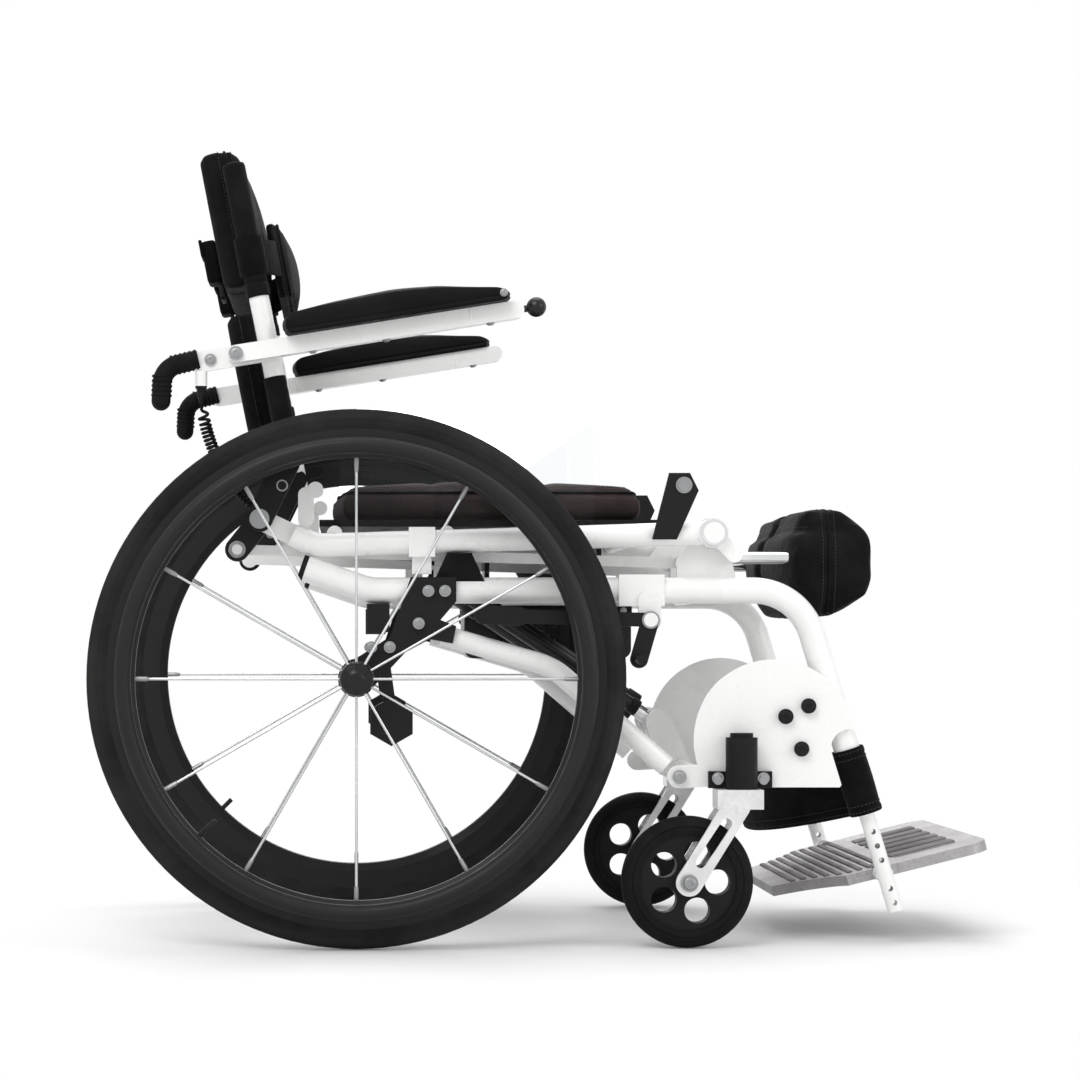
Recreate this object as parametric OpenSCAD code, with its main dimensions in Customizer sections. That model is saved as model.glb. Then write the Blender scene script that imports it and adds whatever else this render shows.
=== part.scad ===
// Standing wheelchair: large hand driven wheels and a powered seat that lifts its sitter upright.
// Millimetres. x points forward, y to the chair's left, z up. The chair is drawn seated.
// Places are written from the rear axle (x), the middle plane (y) and the floor (z). chair() centres them.

/* [Rear wheels] */
// Outside diameter of the rear tyre
wheel_d = 610; // [570:1:640]
// Width of the rear tyre
tyre_w = 26; // [22:1:32]
// Height of the tyre from its seat on the rim to the tread
tyre_h = 23; // [18:1:26]
// Depth of the rim towards the hub
rim_depth = 32; // [20:1:40]
// Width of the rim
rim_w = 20; // [16:1:22]
// Number of spokes in a rear wheel
spoke_n = 12; // [8:2:24]
// Diameter of a spoke
spoke_d = 3; // [2:0.1:4]
// Diameter of the hub shell
hub_d = 35; // [30:1:44]
// Length of the hub shell
hub_len = 50; // [40:1:56]
// Diameter of the rear axle pin
axle_d = 12; // [10:0.5:16]
// Diameter of the hand-rim's tube
hand_rim_d = 19; // [14:1:24]
// Gap between the rim and the hand-rim
hand_rim_gap = 16; // [10:1:26]
// Distance from a side frame tube to its wheel's middle plane
wheel_gap = 53; // [50:1:70]

/* [Side frames] */
// Distance between the side frame tubes, middle to middle
frame_w = 430; // [400:1:480]
// Diameter of a side frame tube
tube_d = 30; // [26:1:32]
// Height of the side frame tubes above the rear axle
tube_rise = 101; // [96:1:115]
// Reach from the rear axle to the corner where a tube turns down into its leg
leg_x = 508; // [500:1:530]
// Lean of the front leg from upright, in degrees
leg_lean = 16.9; // [12:0.1:20]
// Length of the front leg from its corner
leg_len = 267; // [255:1:280]
// Bend radius at the front corner
leg_bend = 70; // [55:1:80]
// Reach of the tube behind the axle
tail_x = 58; // [50:1:80]
// Rise of the tube's rear end
tail_rise = 25; // [20:1:26]
// Diameter of the lower tubes
lower_d = 24; // [20:1:26]
// Diameter of the base cross tubes
cross_d = 22; // [18:1:26]
// Thickness of the side plates
plate_t = 6; // [4:0.5:7]

/* [Casters] */
// Diameter of a caster wheel
caster_d = 150; // [130:1:160]
// Width of a caster tyre
caster_w = 28; // [22:1:32]
// Reach from the rear axle to the caster stem
stem_x = 437; // [432:1:450]
// Distance that the caster axle trails its stem
trail = 62; // [50:1:70]
// Diameter of the caster stem
stem_d = 12; // [10:0.5:14]
// Thickness of a fork arm
fork_t = 5; // [4:0.5:7]

/* [Seat] */
// Reach from the rear axle to the knee hinge
knee_x = 409; // [405:1:415]
// Height of the knee hinge above the side frame tubes
knee_rise = 66; // [64:1:76]
// Distance from the knee hinge to the hip hinge, along x
seat_len = 520; // [500:1:540]
// Rise of the hip hinge above the knee hinge
hip_rise = 16; // [12:1:20]
// Diameter of a seat rail
rail_d = 27; // [24:1:28]
// Distance from the middle of a side frame tube to the cushion's side
cushion_side = 23; // [22:1:40]
// Thickness of the cushion at its crown
cushion_t = 52; // [40:1:70]
// Overhang of the cushion behind the knee hinge
cushion_front = 46; // [40:1:70]
// Distance from the hip hinge to the cushion's rear edge, along x
cushion_back = 62; // [60:1:90]
// Height of a clear side guard above the seat pan
guard_h = 132; // [100:1:160]
// Thickness of a clear side guard
guard_t = 3; // [2:0.5:4]

/* [Backrest] */
// Lean of the back tubes from upright, in degrees
back_lean = 11; // [9:0.5:13]
// Length of the back tubes
cane_len = 360; // [330:1:380]
// Diameter of the back tubes
cane_d = 23; // [20:1:23]
// Height of the upper back pad
pad_h = 182; // [150:1:190]
// Thickness of the upper back pad
pad_t = 60; // [45:1:66]
// Height of the lower back panel
panel_h = 174; // [150:1:180]
// Thickness of the lower back panel
panel_t = 46; // [36:1:50]

/* [Arms] */
// Length of an arm tube in front of its pivot
arm_len = 322; // [290:1:350]
// Slope of the arms, in degrees
arm_slope = 9; // [6:0.5:11]
// Height of an arm tube
arm_h = 20; // [18:1:22]
// Length of an arm pad
arm_pad_len = 268; // [230:1:280]
// Width of an arm pad
arm_pad_w = 52; // [44:1:60]
// Diameter of the ball knob
knob_d = 23; // [18:1:26]

/* [Footrest] */
// Diameter of a footrest tube
foot_tube_d = 18; // [16:0.5:20]
// Length of a footrest tube below its leg
foot_drop = 117; // [105:1:119]
// Pitch of the setting holes
hole_pitch = 17; // [15:0.5:19]
// Diameter of the setting holes
hole_d = 6.4; // [5:0.1:7]
// Nose-up tilt of the footplate, in degrees
foot_tilt = 14; // [10:0.5:16]
// Length of the footplate in front of its pivot
foot_front = 130; // [110:1:150]
// Length of the footplate behind its pivot
foot_rear = 118; // [100:1:120]
// Thickness of the footplate
foot_t = 12; // [8:1:14]

/* [Lift] */
// Diameter of the actuator tube
actuator_d = 33; // [28:1:36]
// Diameter of the actuator rod
rod_d = 18; // [14:1:20]
// Diameter of a gas spring cylinder
gas_d = 17; // [14:1:18]
// Diameter of a gas spring rod
gas_rod_d = 8; // [6:1:9]
// Length of the actuator tube from its pivot
actuator_len = 280; // [275:1:284]
// Number of curls in the hand control cord
curl_n = 34; // [20:1:40]
// Diameter of the cord
cord_d = 3.6; // [3:0.1:4]
// Outside diameter of a curl
curl_d = 15; // [12:0.5:16]

/* [Hidden] */
$fn = 48;
// Radial clearance of a turning or sliding fit
run = 0.05;
// Small gap between pieces that lie against each other
lie = 0.3;
white = [0.92, 0.92, 0.91];
black = [0.08, 0.08, 0.08];
silver = [0.72, 0.73, 0.74];
tyre_grey = [0.2, 0.2, 0.2];

// Wheels and side frames
wheel_r = wheel_d / 2;
rim_r = wheel_r - tyre_h;
rim_in = rim_r - rim_depth;
tube_r = tube_d / 2;
lower_r = lower_d / 2;
cross_r = cross_d / 2;
frame_y = frame_w / 2;
wheel_y = frame_y + wheel_gap;
tube_z = wheel_r + tube_rise;
plate_in = frame_y + tube_r;
plate_out = plate_in + plate_t;
plate_mid = plate_in + plate_t / 2;
hand_rim_y = wheel_y + rim_w / 2 + hand_rim_gap + hand_rim_d / 2;
hand_rim_r = rim_in + hand_rim_d / 2 + 2;
hub_in = wheel_y - hub_len / 2;
hub_out = wheel_y + hub_len / 2 + 6;
hub_wall = 4;
tail_bend_x = 15;
tail_bend = 60;
leg_u = [sin(leg_lean), -cos(leg_lean)];
leg_top = [leg_x, tube_z];
leg_end = leg_top + leg_len * leg_u;
leg_bore = 165;
rear_cross_x = 45;
plate_low = caster_d + 31;
dee_r = 92;
lower_y = plate_in - lower_r - lie;
lower_end = [leg_x - 153, plate_low + 24];
drop_foot = [40, wheel_r - 49];
strap_t = 4;
strap_top = leg_top + 190 * leg_u;
strap_low = leg_end;
strap_sag = 110;
strap_bow_r = (frame_y * frame_y + strap_sag * strap_sag) / (2 * strap_sag);

// Casters
caster_r = caster_d / 2;
caster_rim_r = caster_r - 20;
caster_axle = [stem_x - trail, caster_r];
caster_pin_d = 8;
housing_low = plate_low - 0.5;
housing_h = 58;
housing_r = 18;
foot_pad_t = 10;
stem_y = plate_out + housing_r;
stem_len = 50;
crown_top = housing_low - 0.5;
crown_low = crown_top - 22;
fork_y = caster_w / 2 + 4;

// Seat
knee = [knee_x, tube_z + knee_rise];
hip = knee + [-seat_len, hip_rise];
knee_pin_d = 16;
hip_pin_d = 12;
rail_r = rail_d / 2;
rail_corner = hip + [64, -30];
rail_tail = hip + 42 * (rail_corner - hip) / norm(rail_corner - hip);
rail_bend = 50;
lug_t = 12.5;
lug_y = frame_y - rail_r + lug_t / 2;
knee_plate_y = frame_y - tube_r - plate_t / 2;
knee_plate_in = knee_plate_y - plate_t / 2;
pan_t = 8;
pan_top = knee[1] + 16.5;
seat_cross_d = 18;
seat_cross_z = pan_top - pan_t - seat_cross_d / 2;
// Pivot of the lift struts under the middle cross tube
lift_top = knee + [-305, -51];
seat_cross_x = [hip[0] + 86, lift_top[0], knee_x - 79];
cushion_w = frame_w - 2 * cushion_side;
cushion_len = seat_len - cushion_front - cushion_back;
cushion_x = knee_x - cushion_front - cushion_len / 2;
guard_y = cushion_w / 2 + 2.2 + guard_t / 2;
guard_x = hip[0] + 91;
guard_len = seat_len - 225;
guard_bolt_x = [guard_x + 60, guard_x + guard_len - 35];
rail_clamp_x = tail_bend_x + 45;
clamp_w = rail_d + 7;
function rail_z(x) = rail_corner[1]
    + (x - rail_corner[0]) * (knee[1] - rail_corner[1]) / (knee_x - rail_corner[0]);
rest_top = rail_z(104) - rail_r - lie;

// Backrest and arms
cane_y = frame_y - 9;
cane_foot = hip + [38, 54];
cane_u = [-sin(back_lean), cos(back_lean)];
panel_low = 34;
hinge_t = 6;
hinge_out_y = cane_y + cane_d / 2 + 0.5 + hinge_t / 2;
hinge_in_y = cane_y - cane_d / 2 - 0.5 - hinge_t / 2;
link_offset = [-27, -34];
link_pin_d = 12;
link_play = 4;
link_w = 12;
link_t = 6;
link_y = hinge_in_y - hinge_t / 2 - 1 - link_t / 2;
lever_pivot = hip + [29, 73];
lever_pin_d = 8;
lever_t = 5;
lever_y = hinge_out_y + hinge_t / 2 + 1 + lever_t / 2;
grip_r = 11;
arm_pivot = hip + [-26, 187];
arm_pin_d = 12;
arm_w = 20;
arm_mid_y = hinge_out_y + hinge_t / 2 + 1 + arm_w / 2;
arm_front = arm_pivot + arm_len * [cos(arm_slope), sin(arm_slope)];

// Lift: base pivot of three struts side by side, with ears beside each
lift_low = [leg_x - 148, tube_z - 154];
lift_span = norm(lift_low - lift_top);
lift_dip = atan2(lift_top[1] - lift_low[1], lift_low[0] - lift_top[0]);
lift_pin_d = 14;
strut_pitch = 45;
actuator_y = -30;
gas_y = [actuator_y - strut_pitch, actuator_y + strut_pitch];
ear_t = 5;
ear_y = [for (k = [-1.5 : 1 : 1.5]) actuator_y + k * strut_pitch];
low_cross = [leg_x - 123, plate_low + 15];
// The battery hangs between the left gas spring and the left rail
battery_x = [knee_x - 275, knee_x - 68];
battery_in = gas_y[1] + 25;
battery_out = frame_y - 55;
battery_w = battery_out - battery_in;
battery_y = (battery_in + battery_out) / 2;

// Knee support and footrest
front_cross_x = knee_x + 8;
sleeve_len = 28;
sleeve_w = 24;
knee_rod_d = 14;
knee_rod_y = frame_y - 50;
knee_rod_z = tube_z + 39;
knee_board_x = knee_x + 176;
knee_pad_t = 86;
foot_tube_r = foot_tube_d / 2;
foot_wall = 2.6;
foot_grip = 100;
foot_bottom = leg_end + foot_drop * leg_u;
foot_pivot = foot_bottom - 44 * leg_u;
foot_pin_d = 10;
foot_pin_len = 20;
foot_half_w = frame_y - foot_tube_r - 12;
foot_holes = [0, 1, 3, 4, 5];

// Wheel locks
lock_pivot = [wheel_r + 30, tube_z - 34];
lock_pin_d = 10;
lock_t = 7;
lock_y = plate_out + 1 + lock_t / 2;
lock_shoe = lock_pivot + [-13, -45];

// The chair is centred between the rear tyre's back and the footplate's front edge
front_x = foot_pivot[0] + foot_front * cos(foot_tilt) + foot_t / 2 * sin(foot_tilt);
shift_x = (wheel_r - front_x) / 2;

// Cord route: four control points of one smooth curve, socket end first
cord_y = actuator_y - 95;
cord_route = [[hip[0] - 67, -hinge_out_y, hip[1] + 152], [hip[0] - 67, -hinge_out_y, hip[1] + 52],
    [hip[0] + 1, cord_y, hip[1] - 44], [lift_top[0] - 12, cord_y, lift_top[1] + 23]];
cord_end = cord_route[3];
cord_curl_from = 0.07;
cord_curl_to = 0.66;
gland_w = 16;

// Helpers: placing

module chair() translate([shift_x, 0, 0]) children();

module both() {
    children();
    mirror([0, 1, 0]) children();
}

// The right side is drawn at negative y, and the left side is its mirror image
module side(s) {
    if (s > 0) mirror([0, 1, 0]) children();
    else children();
}

// An outline in x and z, given thickness t about the plane y
module plate(y, t) translate([0, y + t / 2, 0]) rotate([90, 0, 0]) linear_extrude(t) children();

module bar(a, b, r) {
    u = (b - a) / norm(b - a);
    n = r * [-u[1], u[0]];
    translate(a) circle(r);
    translate(b) circle(r);
    polygon([a + n, b + n, b - n, a - n]);
}

module disc(p, r) translate(p) circle(r);

// A round rod across the chair at p, from y0 to y1
module across(p, y0, y1, r) translate([p[0], y1, p[1]]) rotate([90, 0, 0]) cylinder(h = y1 - y0, r = r);

module rod(a, b, r) {
    v = b - a;
    translate(a) rotate([0, acos(v[2] / norm(v)), atan2(v[1], v[0])]) cylinder(h = norm(v), r = r);
}

function lift3(p, y) = [p[0], y, p[1]];
function unit(v) = v / norm(v);
function turn(a, p, b) = acos(unit(p - a) * unit(b - p));
function turn_sign(a, p, b) = sign((p - a)[0] * (b - p)[1] - (p - a)[1] * (b - p)[0]);

// A round bend at corner p on the way from a to b, a hair thicker than the straight tubes it swallows
module bend(a, p, b, r, bend_r) {
    angle = turn(a, p, b);
    d = unit(p - a);
    n = turn_sign(a, p, b) * [-d[1], d[0]];
    middle = p - d * bend_r * tan(angle / 2) + n * bend_r;
    first = atan2(-n[1], -n[0]) - (turn_sign(a, p, b) < 0 ? angle : 0);
    translate([middle[0], 0, middle[1]]) rotate([90, 0, 0]) rotate([0, 0, first])
        rotate_extrude(angle = angle, $fn = 64) translate([bend_r, 0]) circle(r + 0.05);
}

// A tube through the corners pts, in a plane of x and z, with a bend radius for each inner corner
module bent_tube(pts, r, bends) {
    last = len(pts) - 1;
    cut = [for (i = [0 : last]) i == 0 || i == last ? 0
        : bends[i - 1] * tan(turn(pts[i - 1], pts[i], pts[i + 1]) / 2)];
    for (i = [0 : last - 1]) {
        u = unit(pts[i + 1] - pts[i]);
        rod(lift3(pts[i] + (cut[i] - (i == 0 ? 0 : 0.6)) * u, 0),
            lift3(pts[i + 1] - (cut[i + 1] - (i == last - 1 ? 0 : 0.6)) * u, 0), r);
    }
    for (i = [1 : last - 1]) bend(pts[i - 1], pts[i], pts[i + 1], r, bends[i - 1]);
}

// Helpers: soft forms

// One ring of a padded form: a rounded oblong whose sides draw in between its corners
function pad_ring(l, w, pull, n) = [for (i = [0 : n - 1])
    let (c = cos(360 * (i + 0.5) / n), s = sin(360 * (i + 0.5) / n),
        u = sign(c) * pow(abs(c), 0.38), v = sign(s) * pow(abs(s), 0.38))
    [u * (l / 2 - pull * (1 - v * v)), v * (w / 2 - pull * (1 - u * u))]];

// A padded form on the plane z = 0: flat underneath, drawn-in sides and a crown on top
module padded(l, w, h, crown, pull, n = 28) {
    edge = h - crown;
    levels = [[0.93, 0], [0.985, 0.14 * edge], [1, 0.45 * edge], [0.985, 0.78 * edge], [0.92, edge],
        [0.72, edge + 0.5 * crown], [0.4, edge + 0.86 * crown]];
    ring = pad_ring(l, w, pull, n);
    m = len(levels);
    points = concat([for (v = levels) for (p = ring) [v[0] * p[0], v[0] * p[1], v[1]]],
        [[0, 0, 0], [0, 0, h]]);
    faces = concat(
        [for (k = [0 : m - 2]) for (i = [0 : n - 1])
            let (a = k * n + i, b = k * n + (i + 1) % n) each [[a, a + n, b + n], [a, b + n, b]]],
        [for (i = [0 : n - 1]) [m * n, i, (i + 1) % n]],
        [for (i = [0 : n - 1]) [m * n + 1, (m - 1) * n + (i + 1) % n, (m - 1) * n + i]]);
    polyhedron(points, faces);
}

// The hand control cord: a straight start, curls round the route, and a straight end
function cord_at(t) = let (q = 1 - t) q * q * q * cord_route[0] + 3 * q * q * t * cord_route[1]
    + 3 * q * t * t * cord_route[2] + t * t * t * cord_route[3];
function cord_way(t) = unit(cord_at(min(1, t + 0.002)) - cord_at(max(0, t - 0.002)));
function cord_curl(t) = max(0, min(1, (t - cord_curl_from) / (cord_curl_to - cord_curl_from)));
function cord_radius(t) = (curl_d - cord_d) / 2 * min(1, curl_n * min(cord_curl(t), 1 - cord_curl(t)));
function cord_radial(t) = let (d = cord_way(t), n = unit(cross([0, 1, 0], d)), b = cross(d, n),
    a = 360 * curl_n * cord_curl(t)) cos(a) * n + sin(a) * b;
cord_steps = concat([0, 0.012, 0.03],
    [for (i = [0 : 8 * curl_n]) cord_curl_from + (cord_curl_to - cord_curl_from) * i / (8 * curl_n)],
    [for (i = [1 : 9]) cord_curl_to + (0.975 - cord_curl_to) * i / 9], [0.988, 1]);
cord_line = [for (t = cord_steps) cord_at(t) + cord_radius(t) * cord_radial(t)];
cord_last = len(cord_line) - 1;
// Least gap between two passes of the cord that lie more than half a curl apart
cord_gap = min([for (i = [0 : cord_last]) for (j = [i + 5 : 1 : min(cord_last, i + 20)])
    norm(cord_line[i] - cord_line[j])]) - cord_d;
echo(cord_gap = cord_gap);

module cord_tube() {
    sides = 6;
    rings = [for (i = [0 : cord_last])
        let (d = i == 0 ? cord_way(0) : i == cord_last ? cord_way(1)
                : unit(cord_line[i + 1] - cord_line[i - 1]),
            r = cord_radial(cord_steps[i]), n = unit(r - (r * d) * d), b = cross(d, n))
        for (k = [0 : sides - 1])
            cord_line[i] + cord_d / 2 * (cos(360 * k / sides) * n + sin(360 * k / sides) * b)];
    faces = concat(
        [for (i = [0 : cord_last - 1]) for (k = [0 : sides - 1])
            let (a = i * sides + k, b = i * sides + (k + 1) % sides)
            each [[a, a + sides, b + sides], [a, b + sides, b]]],
        [for (k = [1 : sides - 2]) [0, k, k + 1]],
        [for (k = [1 : sides - 2]) [cord_last * sides, cord_last * sides + k + 1, cord_last * sides + k]]);
    polyhedron(rings, faces);
}

// Base

module frame_run() translate([0, -frame_y, 0])
    bent_tube([[-tail_x, tube_z + tail_rise], [tail_bend_x, tube_z], leg_top, leg_end],
        tube_r, [tail_bend, leg_bend]);

// The straight stretch of a side tube, to fit other pieces against it
module frame_straight() translate([0, -frame_y, tube_z]) rotate([0, 90, 0]) cylinder(h = leg_x, r = tube_r);

module side_frames() color(white) chair() both() difference() {
    frame_run();
    rod(lift3(leg_end + leg_u, -frame_y), lift3(leg_end - leg_bore * leg_u, -frame_y), foot_tube_r + run);
}

module base_cross_tubes() color(white) chair() difference() {
    union() {
        across([rear_cross_x, tube_z], -frame_y, frame_y, cross_r);
        across([front_cross_x, tube_z], -knee_plate_in, knee_plate_in, cross_r);
        across(low_cross, -plate_in, plate_in, cross_r);
        both() translate([front_cross_x - sleeve_len / 2, -knee_rod_y - sleeve_w / 2, tube_z])
            cube([sleeve_len, sleeve_w, knee_rod_z + sleeve_w / 2 - tube_z]);
        for (y = ear_y) plate(y, ear_t) difference() {
            bar(low_cross, lift_low, 15);
            disc(low_cross, cross_r + run);
        }
    }
    both() frame_straight();
    both() rod([knee_x - 40, -knee_rod_y, knee_rod_z], [knee_x + 60, -knee_rod_y, knee_rod_z],
        knee_rod_d / 2 + run);
}

module lower_tubes() color(white) chair() both() translate([0, -lower_y, 0])
    bent_tube([[98, wheel_r + 50], [225, wheel_r + 13], lower_end], lower_r, [80]);

module caster_plates() color(white) chair() both() plate(-plate_mid, plate_t) difference() {
    union() {
        intersection() {
            disc([leg_x - 31, plate_low + dee_r - 38], dee_r);
            translate([leg_x - 140, plate_low]) square([200, 200]);
        }
        bar([stem_x - 27, plate_low + 14], lower_end + [13, -12], 13);
    }
    bar(strap_top - 2 * leg_u, leg_end, tube_r + strap_t + 2);
}

module caster_housings() color(black) chair() both() difference() {
    union() {
        translate([stem_x, -stem_y, housing_low]) cylinder(h = housing_h, r = housing_r);
        translate([stem_x, -stem_y, housing_low + housing_h]) cylinder(h = 5, r = housing_r - 5);
        translate([stem_x - 13, -stem_y, housing_low]) cube([26, stem_y - plate_out, housing_h - 6]);
        translate([stem_x - 36, -plate_out - foot_pad_t, housing_low]) cube([72, foot_pad_t, 19]);
    }
    translate([stem_x, -stem_y, housing_low - 1]) cylinder(h = stem_len + 1.5, r = stem_d / 2 + run);
}

module axle_plates() color(black) chair() both() {
    plate(-plate_mid, plate_t) difference() {
        union() {
            polygon([[62, tube_z + 15], [114, tube_z + 15], [114, tube_z - 13], [96, tube_z - 34],
                [114, wheel_r + 60], [110, wheel_r + 40], [84, wheel_r + 45], [56, wheel_r + 30],
                [16, wheel_r - 13], [-14, wheel_r - 13], [-14, wheel_r + 13], [38, wheel_r + 46]]);
            disc([0, wheel_r], 19);
            bar([32, wheel_r + 14], drop_foot + [-2, 20], 7);
        }
        disc([0, wheel_r], axle_d / 2 + run);
    }
    plate(-plate_mid, 14) translate(drop_foot) rotate(30) circle(28, $fn = 6);
    translate([12, -plate_in, tube_z - tube_r - 33]) cube([26, 26, 32.7]);
}

module bolt(p, y, r, h) across(p, -y - h, -y, r);

module base_bolts() color(silver) chair() both() {
    for (p = [[82, tube_z - 1], [101, tube_z - 1], [71, tube_z - 38], [17, wheel_r + 36], [38, wheel_r + 36]])
        bolt(p, plate_out, 5, 3.5);
    for (p = [[-19, 81], [7, 93], [-1, 44]]) bolt([leg_x, plate_low] + p, plate_out, 6.5, 4);
    bolt(lower_end + [13, -12], plate_out, 6, 4);
    for (dx = [-26, 26]) bolt([stem_x + dx, housing_low + 9], plate_out + foot_pad_t, 5, 3.5);
    across([0, wheel_r], -hub_out + hub_wall + 0.5, -plate_in + 8, axle_d / 2);
    across([0, wheel_r], -hub_in + 0.5, -plate_out, axle_d / 2 + 4);
    across([0, wheel_r], -plate_in, -plate_in + 8, axle_d / 2 + 5);
}

module tube_plugs() color(black) chair() both() {
    tip = [-tail_x, tube_z + tail_rise];
    u = unit([-tail_x - tail_bend_x, tail_rise]);
    rod(lift3(tip, -frame_y), lift3(tip + 6 * u, -frame_y), tube_r);
}

module lock_clamps() color(white) chair() both() {
    difference() {
        translate([lock_pivot[0] - 35, -plate_in - 3, tube_z - tube_r - 3])
            cube([52, tube_d + 6, tube_d + 6]);
        frame_straight();
        plate(-knee_plate_y, plate_t + 2 * lie) knee_outline();
    }
    plate(-plate_mid, plate_t) bar(lock_pivot, lock_pivot + [0, 22], 13);
    across(lock_pivot, -lock_y - lock_t / 2 - 0.5, -plate_mid, lock_pin_d / 2);
    bolt(lock_pivot, lock_y + lock_t / 2 + 0.5, lock_pin_d / 2 + 3, 3);
}

module seat_rests() color(black) chair() both() difference() {
    plate(-frame_y, 22) polygon([[88, tube_z + 8], [148, tube_z + 8], [132, rest_top], [104, rest_top]]);
    frame_straight();
}

module knee_outline() {
    polygon([[knee_x - 40, tube_z - 10], [knee_x + 34, tube_z - 10], knee + [17, 4], knee + [-17, 4],
        knee + link_offset + [-12, 4]]);
    disc(knee, 18);
    disc(knee + link_offset, 13);
}

module knee_brackets() color(white) chair() both() {
    plate(-knee_plate_y, plate_t) knee_outline();
    across(knee, -frame_y - rail_r - 0.5, -knee_plate_y, knee_pin_d / 2);
    bolt(knee, frame_y + rail_r + 0.5, knee_pin_d / 2 + 4, 3.5);
    across(knee + link_offset, -knee_plate_y, -link_y + link_t / 2 + 1, link_pin_d / 2);
}

// A broad strap that wraps both legs and hangs back between them
module calf_strap() color(black) chair() translate(lift3(strap_low, 0)) rotate([0, -leg_lean, 0])
    linear_extrude(norm(strap_top - strap_low)) difference() {
        union() {
            both() translate([0, -frame_y]) circle(tube_r + strap_t);
            intersection() {
                translate([strap_bow_r - strap_sag, 0]) difference() {
                    circle(strap_bow_r + strap_t / 2, $fn = 96);
                    circle(strap_bow_r - strap_t / 2, $fn = 96);
                }
                translate([-strap_sag - 20, -frame_y]) square([strap_sag + 12, frame_w]);
            }
        }
        both() translate([0, -frame_y]) circle(tube_r + 0.2);
    }

// Rear wheels

module wheel_at(s) chair() side(s) translate([0, -wheel_y, wheel_r]) rotate([90, 0, 0]) children();

module tyre() rotate_extrude($fn = 96) difference() {
    union() {
        translate([wheel_r - tyre_w / 2, 0]) circle(tyre_w / 2);
        translate([rim_r, -rim_w / 2]) square([tyre_h - tyre_w / 2, rim_w]);
    }
    translate([rim_r - tyre_w, -tyre_w]) square([tyre_w, 2 * tyre_w]);
}

module rim() {
    rotate_extrude($fn = 96) polygon([[rim_in, -4], [rim_in + 10, -rim_w / 2], [rim_r, -rim_w / 2],
        [rim_r, rim_w / 2], [rim_in + 10, rim_w / 2], [rim_in, 4]]);
    rotate(225) rod([rim_in + 2, 0, 0], [rim_in - 16, 0, 0], 3);
}

// Each spoke is its own rod between the hub shell and the rim, from one hub flange or the other in turn
module spokes() {
    difference() {
        translate([0, 0, -hub_len / 2]) cylinder(h = hub_len + 6, r = hub_d / 2);
        translate([0, 0, -hub_len / 2 - 1]) cylinder(h = hub_len + 7 - hub_wall, r = axle_d / 2 + run);
    }
    for (i = [0 : spoke_n - 1]) rotate(360 * i / spoke_n)
        rod([hub_d / 2 + 0.1, 0, i % 2 == 0 ? 13 : -13], [rim_in - 0.1, 0, i % 2 == 0 ? 1 : -1], spoke_d / 2);
}

module hand_rim() {
    rotate_extrude($fn = 96) translate([hand_rim_r, hand_rim_y - wheel_y]) circle(hand_rim_d / 2);
    for (i = [0 : 5]) rotate(60 * i + 15)
        rod([hand_rim_r, 0, rim_w / 2], [hand_rim_r, 0, hand_rim_y - wheel_y], 4);
}

module tyre_right() color(tyre_grey) wheel_at(-1) tyre();
module rim_right() color(tyre_grey) wheel_at(-1) rim();
module spokes_right() color(silver) wheel_at(-1) spokes();
module hand_rim_right() color(tyre_grey) wheel_at(-1) hand_rim();
module tyre_left() color(tyre_grey) wheel_at(1) tyre();
module rim_left() color(tyre_grey) wheel_at(1) rim();
module spokes_left() color(silver) wheel_at(1) spokes();
module hand_rim_left() color(tyre_grey) wheel_at(1) hand_rim();

// Casters

module fork(s) color(silver) chair() side(s) {
    for (d = [-1, 1]) plate(-stem_y + d * (fork_y + fork_t / 2), fork_t) difference() {
        bar([stem_x - 8, crown_low + 4], caster_axle, 15);
        bar([stem_x - 20, crown_low - 16], caster_axle + [13, 23], 6);
    }
    translate([stem_x - 30, -stem_y - fork_y - fork_t, crown_low])
        cube([52, 2 * (fork_y + fork_t), crown_top - crown_low]);
    translate([stem_x, -stem_y, crown_top - 1]) cylinder(h = stem_len, r = stem_d / 2);
    across(caster_axle, -stem_y - fork_y - fork_t - 3, -stem_y + fork_y + fork_t + 3, caster_pin_d / 2);
    for (d = [-1, 1]) translate([0, -stem_y + d * (fork_y + fork_t + 1.5), 0])
        across(caster_axle, -1.5, 1.5, caster_pin_d / 2 + 3);
}

module caster_at(s) chair() side(s) translate([caster_axle[0], -stem_y, caster_axle[1]])
    rotate([90, 0, 0]) children();

module caster_tyre() rotate_extrude($fn = 72) difference() {
    union() {
        translate([caster_r - caster_w / 2, 0]) circle(caster_w / 2);
        translate([caster_rim_r, -caster_w / 2]) square([caster_r - caster_w / 2 - caster_rim_r, caster_w]);
    }
    translate([caster_rim_r - caster_w, -caster_w]) square([caster_w, 2 * caster_w]);
}

module caster_rim() difference() {
    union() {
        cylinder(h = caster_w - 8, r = caster_rim_r, center = true);
        cylinder(h = 2 * fork_y - 2, r = 12, center = true);
    }
    cylinder(h = 2 * fork_y, r = caster_pin_d / 2 + run, center = true);
    for (i = [0 : 4]) rotate(72 * i) translate([(caster_rim_r + 12) / 2, 0, 0])
        cylinder(h = caster_w, r = (caster_rim_r - 12) / 2 - 7, center = true);
}

module caster_fork_right() fork(-1);
module caster_tyre_right() color(black) caster_at(-1) caster_tyre();
module caster_rim_right() color(black) caster_at(-1) caster_rim();
module caster_fork_left() fork(1);
module caster_tyre_left() color(black) caster_at(1) caster_tyre();
module caster_rim_left() color(black) caster_at(1) caster_rim();

// Seat

module rail_straight() rod(lift3(rail_corner, -frame_y), lift3(knee, -frame_y), rail_r);

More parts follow.
